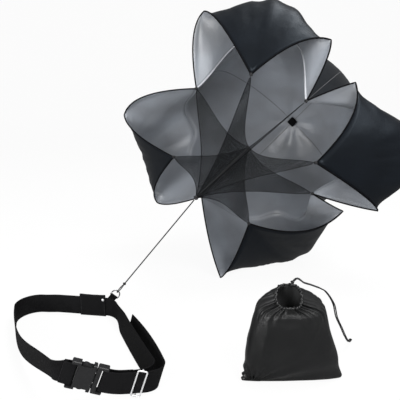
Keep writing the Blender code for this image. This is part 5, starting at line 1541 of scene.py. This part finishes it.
@dataclass
class Bag(Assembly):
    """The carry bag, gathered at its mouth, and its drawstring."""

    height: float = 0.160
    half_width: float = 0.0903
    half_depth: float = 0.029
    cloth: float = 0.0010
    squareness: float = 0.75
    floor: float = 0.0010
    hem: float = 0.0044
    gap: float = 0.0003
    sides: int = 144
    levels: int = 72
    string: float = 0.0024
    strand_spacing: float = 0.0030
    string_knot: float = 0.0070
    strand_sink: float = 0.0008  # how far the strands run into their knots
    pleat: float = 0.0022  # depth of the gathers under the mouth
    fold: float = 0.0024  # depth of the folds that fan out at the foot
    crumple: float = 0.0060
    pucker: float = 0.16
    puckers: int = 32

    # Height, width and depth as shares, tilt in degrees, shifts back and to the side as shares
    RINGS = (
        (0.000, 1.000, 0.21, 0.0, 0.00, 0.000),
        (0.060, 0.990, 0.55, 0.0, 0.00, 0.000),
        (0.280, 0.915, 0.97, 0.0, 0.00, -0.030),
        (0.594, 0.775, 1.00, 0.0, 0.00, -0.075),
        (0.810, 0.680, 0.93, 12.0, 0.00, -0.083),
        (0.895, 0.615, 0.90, 28.0, -0.05, -0.090),
        (0.940, 0.500, 0.845, 38.0, -0.10, -0.110),
        (0.972, 0.365, 0.79, 44.0, -0.18, -0.130),
        (1.000, 0.250, 0.745, 46.0, -0.24, -0.150),
    )
    ROUTE = (
        (0.1610, 0.7062, 0.1805), (0.1650, 0.7072, 0.1840), (0.1690, 0.7072, 0.1845),
        (0.1735, 0.7057, 0.1820), (0.1790, 0.7052, 0.1780), (0.1900, 0.7052, 0.1745),
        (0.2010, 0.7062, 0.1700), (0.2090, 0.7082, 0.1660), (0.2215, 0.7142, 0.1560),
        (0.2385, 0.7242, 0.1300), (0.2510, 0.7392, 0.0960), (0.2675, 0.7572, 0.0650),
        (0.2830, 0.7772, 0.0360), (0.2980, 0.7972, 0.0125), (0.3080, 0.8152, 0.0050),
    )

    def __post_init__(self) -> None:
        """Place the bag's frame."""
        self.matrix = Layout().bag_frame()

    def shares_at(self, level: float) -> list[float]:
        """Return the ring's shares at a level from 0 to 1, on a smooth curve through the rings."""
        spans = len(self.RINGS) - 1
        span = min(int(level * spans), spans - 1)
        rows = [self.RINGS[max(0, min(spans, span + shift))] for shift in (-1, 0, 1, 2)]
        return [smooth_between(values, level * spans - span) for values in zip(*rows)]

    def wall_point(self, level: float, angle: float, reach: float = 1.0) -> Vector:
        """Return a point of the bag's wall, with its gathers and folds."""
        height, width, depth, tilt, shift, side = self.shares_at(level)
        lean = radians(tilt)
        x = self.half_width * width * squared(cos(angle), self.squareness)
        y = self.half_depth * depth * squared(sin(angle), self.squareness)
        middle = Vector((side * self.half_width, shift * self.half_depth, height * self.height))
        point = middle + Vector((x, y * cos(lean), y * sin(lean))) * reach
        out = Vector((cos(angle) * 0.4, sin(angle), 0.0)).normalized()
        gathers = ease((height - 0.72) / 0.24)
        pleats = self.pleat * gathers * (0.6 * cos(26.0 * angle) + 0.4 * cos(17.0 * angle + 1.0))
        foot = 1.0 - ease(height / 0.42)
        fan = math.atan2(point.z, point.x + self.half_width * 0.80)
        folds = self.fold * foot * cos(15.0 * fan) * ease(height / 0.05)
        around = Vector((cos(angle) * 1.6 + 3.0, sin(angle) * 1.2, height * 2.6))
        creases = 0.30 - abs(noise.noise(around))
        soft = self.crumple * creases * ease(height / 0.10) * (1.0 - 0.6 * gathers)
        point += out * (pleats + folds + soft - 0.0012) * min(1.0, reach)
        point.z = max(point.z, self.floor)
        return self.matrix @ point

    def make_body(self) -> None:
        """Build the bag's cloth from the middle of its base up to its mouth."""
        angles = [2.0 * pi * side / self.sides for side in range(self.sides)]
        stages = [(0.0, reach) for reach in (0.02, 0.25, 0.5, 0.75, 0.93)]
        stages += [(level / self.levels, 1.0) for level in range(self.levels + 1)]
        rings = [[self.wall_point(level, angle, reach) for angle in angles] for level, reach in stages]
        item = Maker.loft("bag_cloth_body", rings, caps=False, smooth=80.0)
        centre = self.matrix @ Vector((0.0, 0.0, self.height * 0.4))
        Maker.face_towards(item, lambda point: point - centre)
        Maker.thicken(item, self.cloth)
        self.dress(item, Body.BAG, "bag_cloth bag_lining", "bag_body")

    def make_hem(self) -> None:
        """Build the rolled channel round the mouth, puckered on its drawstring."""
        tilt = radians(self.RINGS[-1][3])
        up = self.matrix.to_3x3() @ Vector((0.0, -sin(tilt), cos(tilt)))
        turns = [2.0 * pi * step / 160 for step in range(160)]
        points = [self.wall_point(1.0, turn) + up * (self.hem / 2 + self.gap) for turn in turns]
        rings = []
        for turn, point, ring in zip(turns, points, Maker.rope_rings(points, self.hem, cyclic=True)):
            swell = 1.0 + self.pucker * cos(self.puckers * turn)
            rings.append([point + (corner - point) * swell for corner in ring])
        item = Maker.loft("bag_hem_channel", rings, cyclic=True, smooth=80.0)
        self.dress(item, Body.BAG, "bag_cloth", "bag_hem")

    def route(self, count: int) -> list[Vector]:
        """Return points at even parameters of a smooth curve through the route."""
        points = [Vector(point) + Vector(Layout.stand) for point in self.ROUTE]
        ends = [2 * points[0] - points[1], *points, 2 * points[-1] - points[-2]]
        spans = len(points) - 1
        result = []
        for index in range(count):
            place = index * spans / (count - 1)
            span = min(int(place), spans - 1)
            result.append(smooth_between(ends[span : span + 4], place - span))
        return result

    def make_strings(self) -> None:
        """Build the two strands of the drawstring and their knots."""
        route = self.route(150)
        reach = self.string_knot / 2 - self.strand_sink
        for name, (tip, inner), turn in (("neck", route[:2], 0.9), ("end", route[:-3:-1], 2.1)):
            place = tip + (tip - inner).normalized() * reach
            knot = Maker.knot(f"{name}_knot_cord", place, self.string_knot, turn)
            self.dress(knot, Body.BAG, "braided_cord", f"{name}_knot")
        for name, side in (("near", -1.0), ("far", 1.0)):
            strand = []
            for index, point in enumerate(route):
                along = route[min(index + 1, len(route) - 1)] - route[max(index - 1, 0)]
                across = along.normalized().cross(Vector((0.0, 0.0, 1.0)))
                strand.append(point + across.normalized() * side * self.strand_spacing / 2)
            item = Maker.rope(f"drawstring_cord_{name}", strand, self.string, strands=3)
            self.dress(item, Body.BAG, "braided_cord", f"drawstring_{name}")


@dataclass
class Buckle(Assembly):
    """The rigid halves of the buckle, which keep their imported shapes."""

    NODES = ("buckle_housing", "buckle_plug", "buckle_arm_upper", "buckle_arm_lower")

    def make(self, frame: dict) -> None:
        """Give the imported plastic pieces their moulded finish."""
        for name in self.NODES:
            self.coat(frame["nodes"][name], "buckle_plastic")


@dataclass
class Studio:
    """The camera, the pale floor and backdrop, and the soft light."""

    camera: tuple[float, float, float] = (-0.0685, -1.0460, 0.48)
    pitch: float = 12.5
    lens: float = 39.42
    sensor: float = 36.0
    floor_reach: float = 6.0
    white_share: float = 0.93  # how much of the seen floor is plain white
    glossy_share: float = 0.25  # how bright gloss sees that white
    air_strength: float = 0.50
    paper: float = 0.86  # how pale the floor is
    curve: float = 1.5  # radius between floor and backdrop

    LAMPS = (
        ("key_lamp", (1.2, -1.9, 2.3), 0.9, 42.0),
        ("fill_lamp", (-1.6, -2.0, 0.7), 1.2, 40.0),
        ("top_lamp", (0.75, -0.1, 2.6), 1.2, 44.0),
    )
    AIM = (0.0, 0.1, 0.3)

    def make_camera(self) -> None:
        """Set the camera at the photograph's viewing angle."""
        data = bpy.data.cameras.new("view_camera")
        data.lens, data.sensor_width = self.lens, self.sensor
        data.clip_start, data.clip_end = 0.01, 100.0
        item = link("view_camera", data)
        item.location = self.camera
        item.rotation_euler = (radians(90.0 - self.pitch), 0.0, 0.0)
        bpy.context.scene.camera = item

    def white_to_camera(self, material: bpy.types.Material) -> None:
        """Make a material pale, and plain white where the camera, gloss or glass looks."""
        material.use_nodes = True
        sketch = Sketch(material.node_tree)
        nodes = material.node_tree.nodes
        shader, output = nodes["Principled BSDF"], nodes["Material Output"]
        grain = sketch.grain(sketch.node("ShaderNodeTexCoord").outputs["Object"], 6.0)
        tone = sketch.between(grain, self.paper - 0.01, self.paper + 0.01)
        pale = sketch.blend(tone, (0.0, 0.0, 0.0, 1.0), (1.0, 1.0, 1.0, 1.0))
        sketch.feed(shader.inputs["Base Color"], pale)
        shader.inputs["Roughness"].default_value = 0.9
        shader.inputs["Specular IOR Level"].default_value = 0.0
        ray = sketch.node("ShaderNodeLightPath").outputs
        seen = sketch.maths("MAXIMUM", ray["Is Camera Ray"], ray["Is Glossy Ray"])
        seen = sketch.maths("MAXIMUM", seen, ray["Is Transmission Ray"])
        dimming = sketch.maths("MULTIPLY", ray["Is Glossy Ray"], 1.0 - self.glossy_share)
        lift = sketch.node("ShaderNodeEmission", Strength=sketch.maths("SUBTRACT", 1.0, dimming))
        share = sketch.maths("MULTIPLY", seen, self.white_share)
        mixed = sketch.node("ShaderNodeMixShader", Fac=share)
        sketch.feed(mixed.inputs[1], shader.outputs["BSDF"])
        sketch.feed(mixed.inputs[2], lift.outputs["Emission"])
        sketch.feed(output.inputs["Surface"], mixed.outputs["Shader"])

    def make_floor(self) -> None:
        """Build a floor that curves up into a backdrop."""
        half, radius = self.floor_reach, self.curve
        profile = [(-half, 0.0), (half - radius, 0.0)]
        for step in range(1, 13):
            angle = radians(90.0 * step / 12)
            profile.append((half - radius + radius * sin(angle), radius * (1.0 - cos(angle))))
        profile.append((half, half))
        grid = [[Vector((x, y, z)) for x in (-half, half)] for y, z in profile]
        item = Maker.loft("studio_floor", grid, closed=False)
        Maker.face_towards(item, lambda point: Vector((0.0, -0.5, 1.0)))
        material = bpy.data.materials.new("pale_paper")
        self.white_to_camera(material)
        item.data.materials.append(material)

    def make_lights(self) -> None:
        """Light the set softly from above, both sides and the front."""
        for name, place, size, power in self.LAMPS:
            data = bpy.data.lights.new(name, "AREA")
            data.size, data.energy = size, power
            item = link(name, data)
            item.location = place
            aim = Vector(self.AIM) - Vector(place)
            item.rotation_euler = aim.to_track_quat("-Z", "Y").to_euler()
        world = bpy.data.worlds.new("studio_air")
        world.use_nodes = True
        shade = world.node_tree.nodes["Background"]
        shade.inputs["Color"].default_value = (1.0, 1.0, 1.0, 1.0)
        sketch = Sketch(world.node_tree)
        seen = sketch.node("ShaderNodeLightPath").outputs["Is Camera Ray"]
        lifted = sketch.maths("MULTIPLY", seen, 1.0 - self.air_strength)
        sketch.feed(shade.inputs["Strength"], sketch.maths("ADD", self.air_strength, lifted))
        bpy.context.scene.world = world
        bpy.context.scene.view_settings.view_transform = "Standard"


def main() -> None:
    """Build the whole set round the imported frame."""
    logging.basicConfig(level=logging.INFO, format="%(message)s")
    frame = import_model()
    studio = Studio()
    studio.make_camera()
    effects = Effects()
    stuff = {finish.name: (finish.build(effects), finish.slot) for finish in FINISHES}
    tether, bag, belt, canopy = Tether(stuff), Bag(stuff), Belt(stuff), Canopy(stuff)
    tether.make_tether()
    bag.make_strings()
    tether.make_ring()
    tether.make_tab()
    belt.make_webbing()
    belt.make_housing_strap()
    belt.make_plug_strap()
    Adjuster(stuff).make(belt)
    Sleeve(stuff).make(belt)
    Buckle(stuff).make(frame)
    bag.make_body()
    bag.make_hem()
    canopy.make_petals()
    canopy.make_panel()
    canopy.make_net()
    studio.make_floor()
    studio.make_lights()


if __name__ == "__main__":
    main()
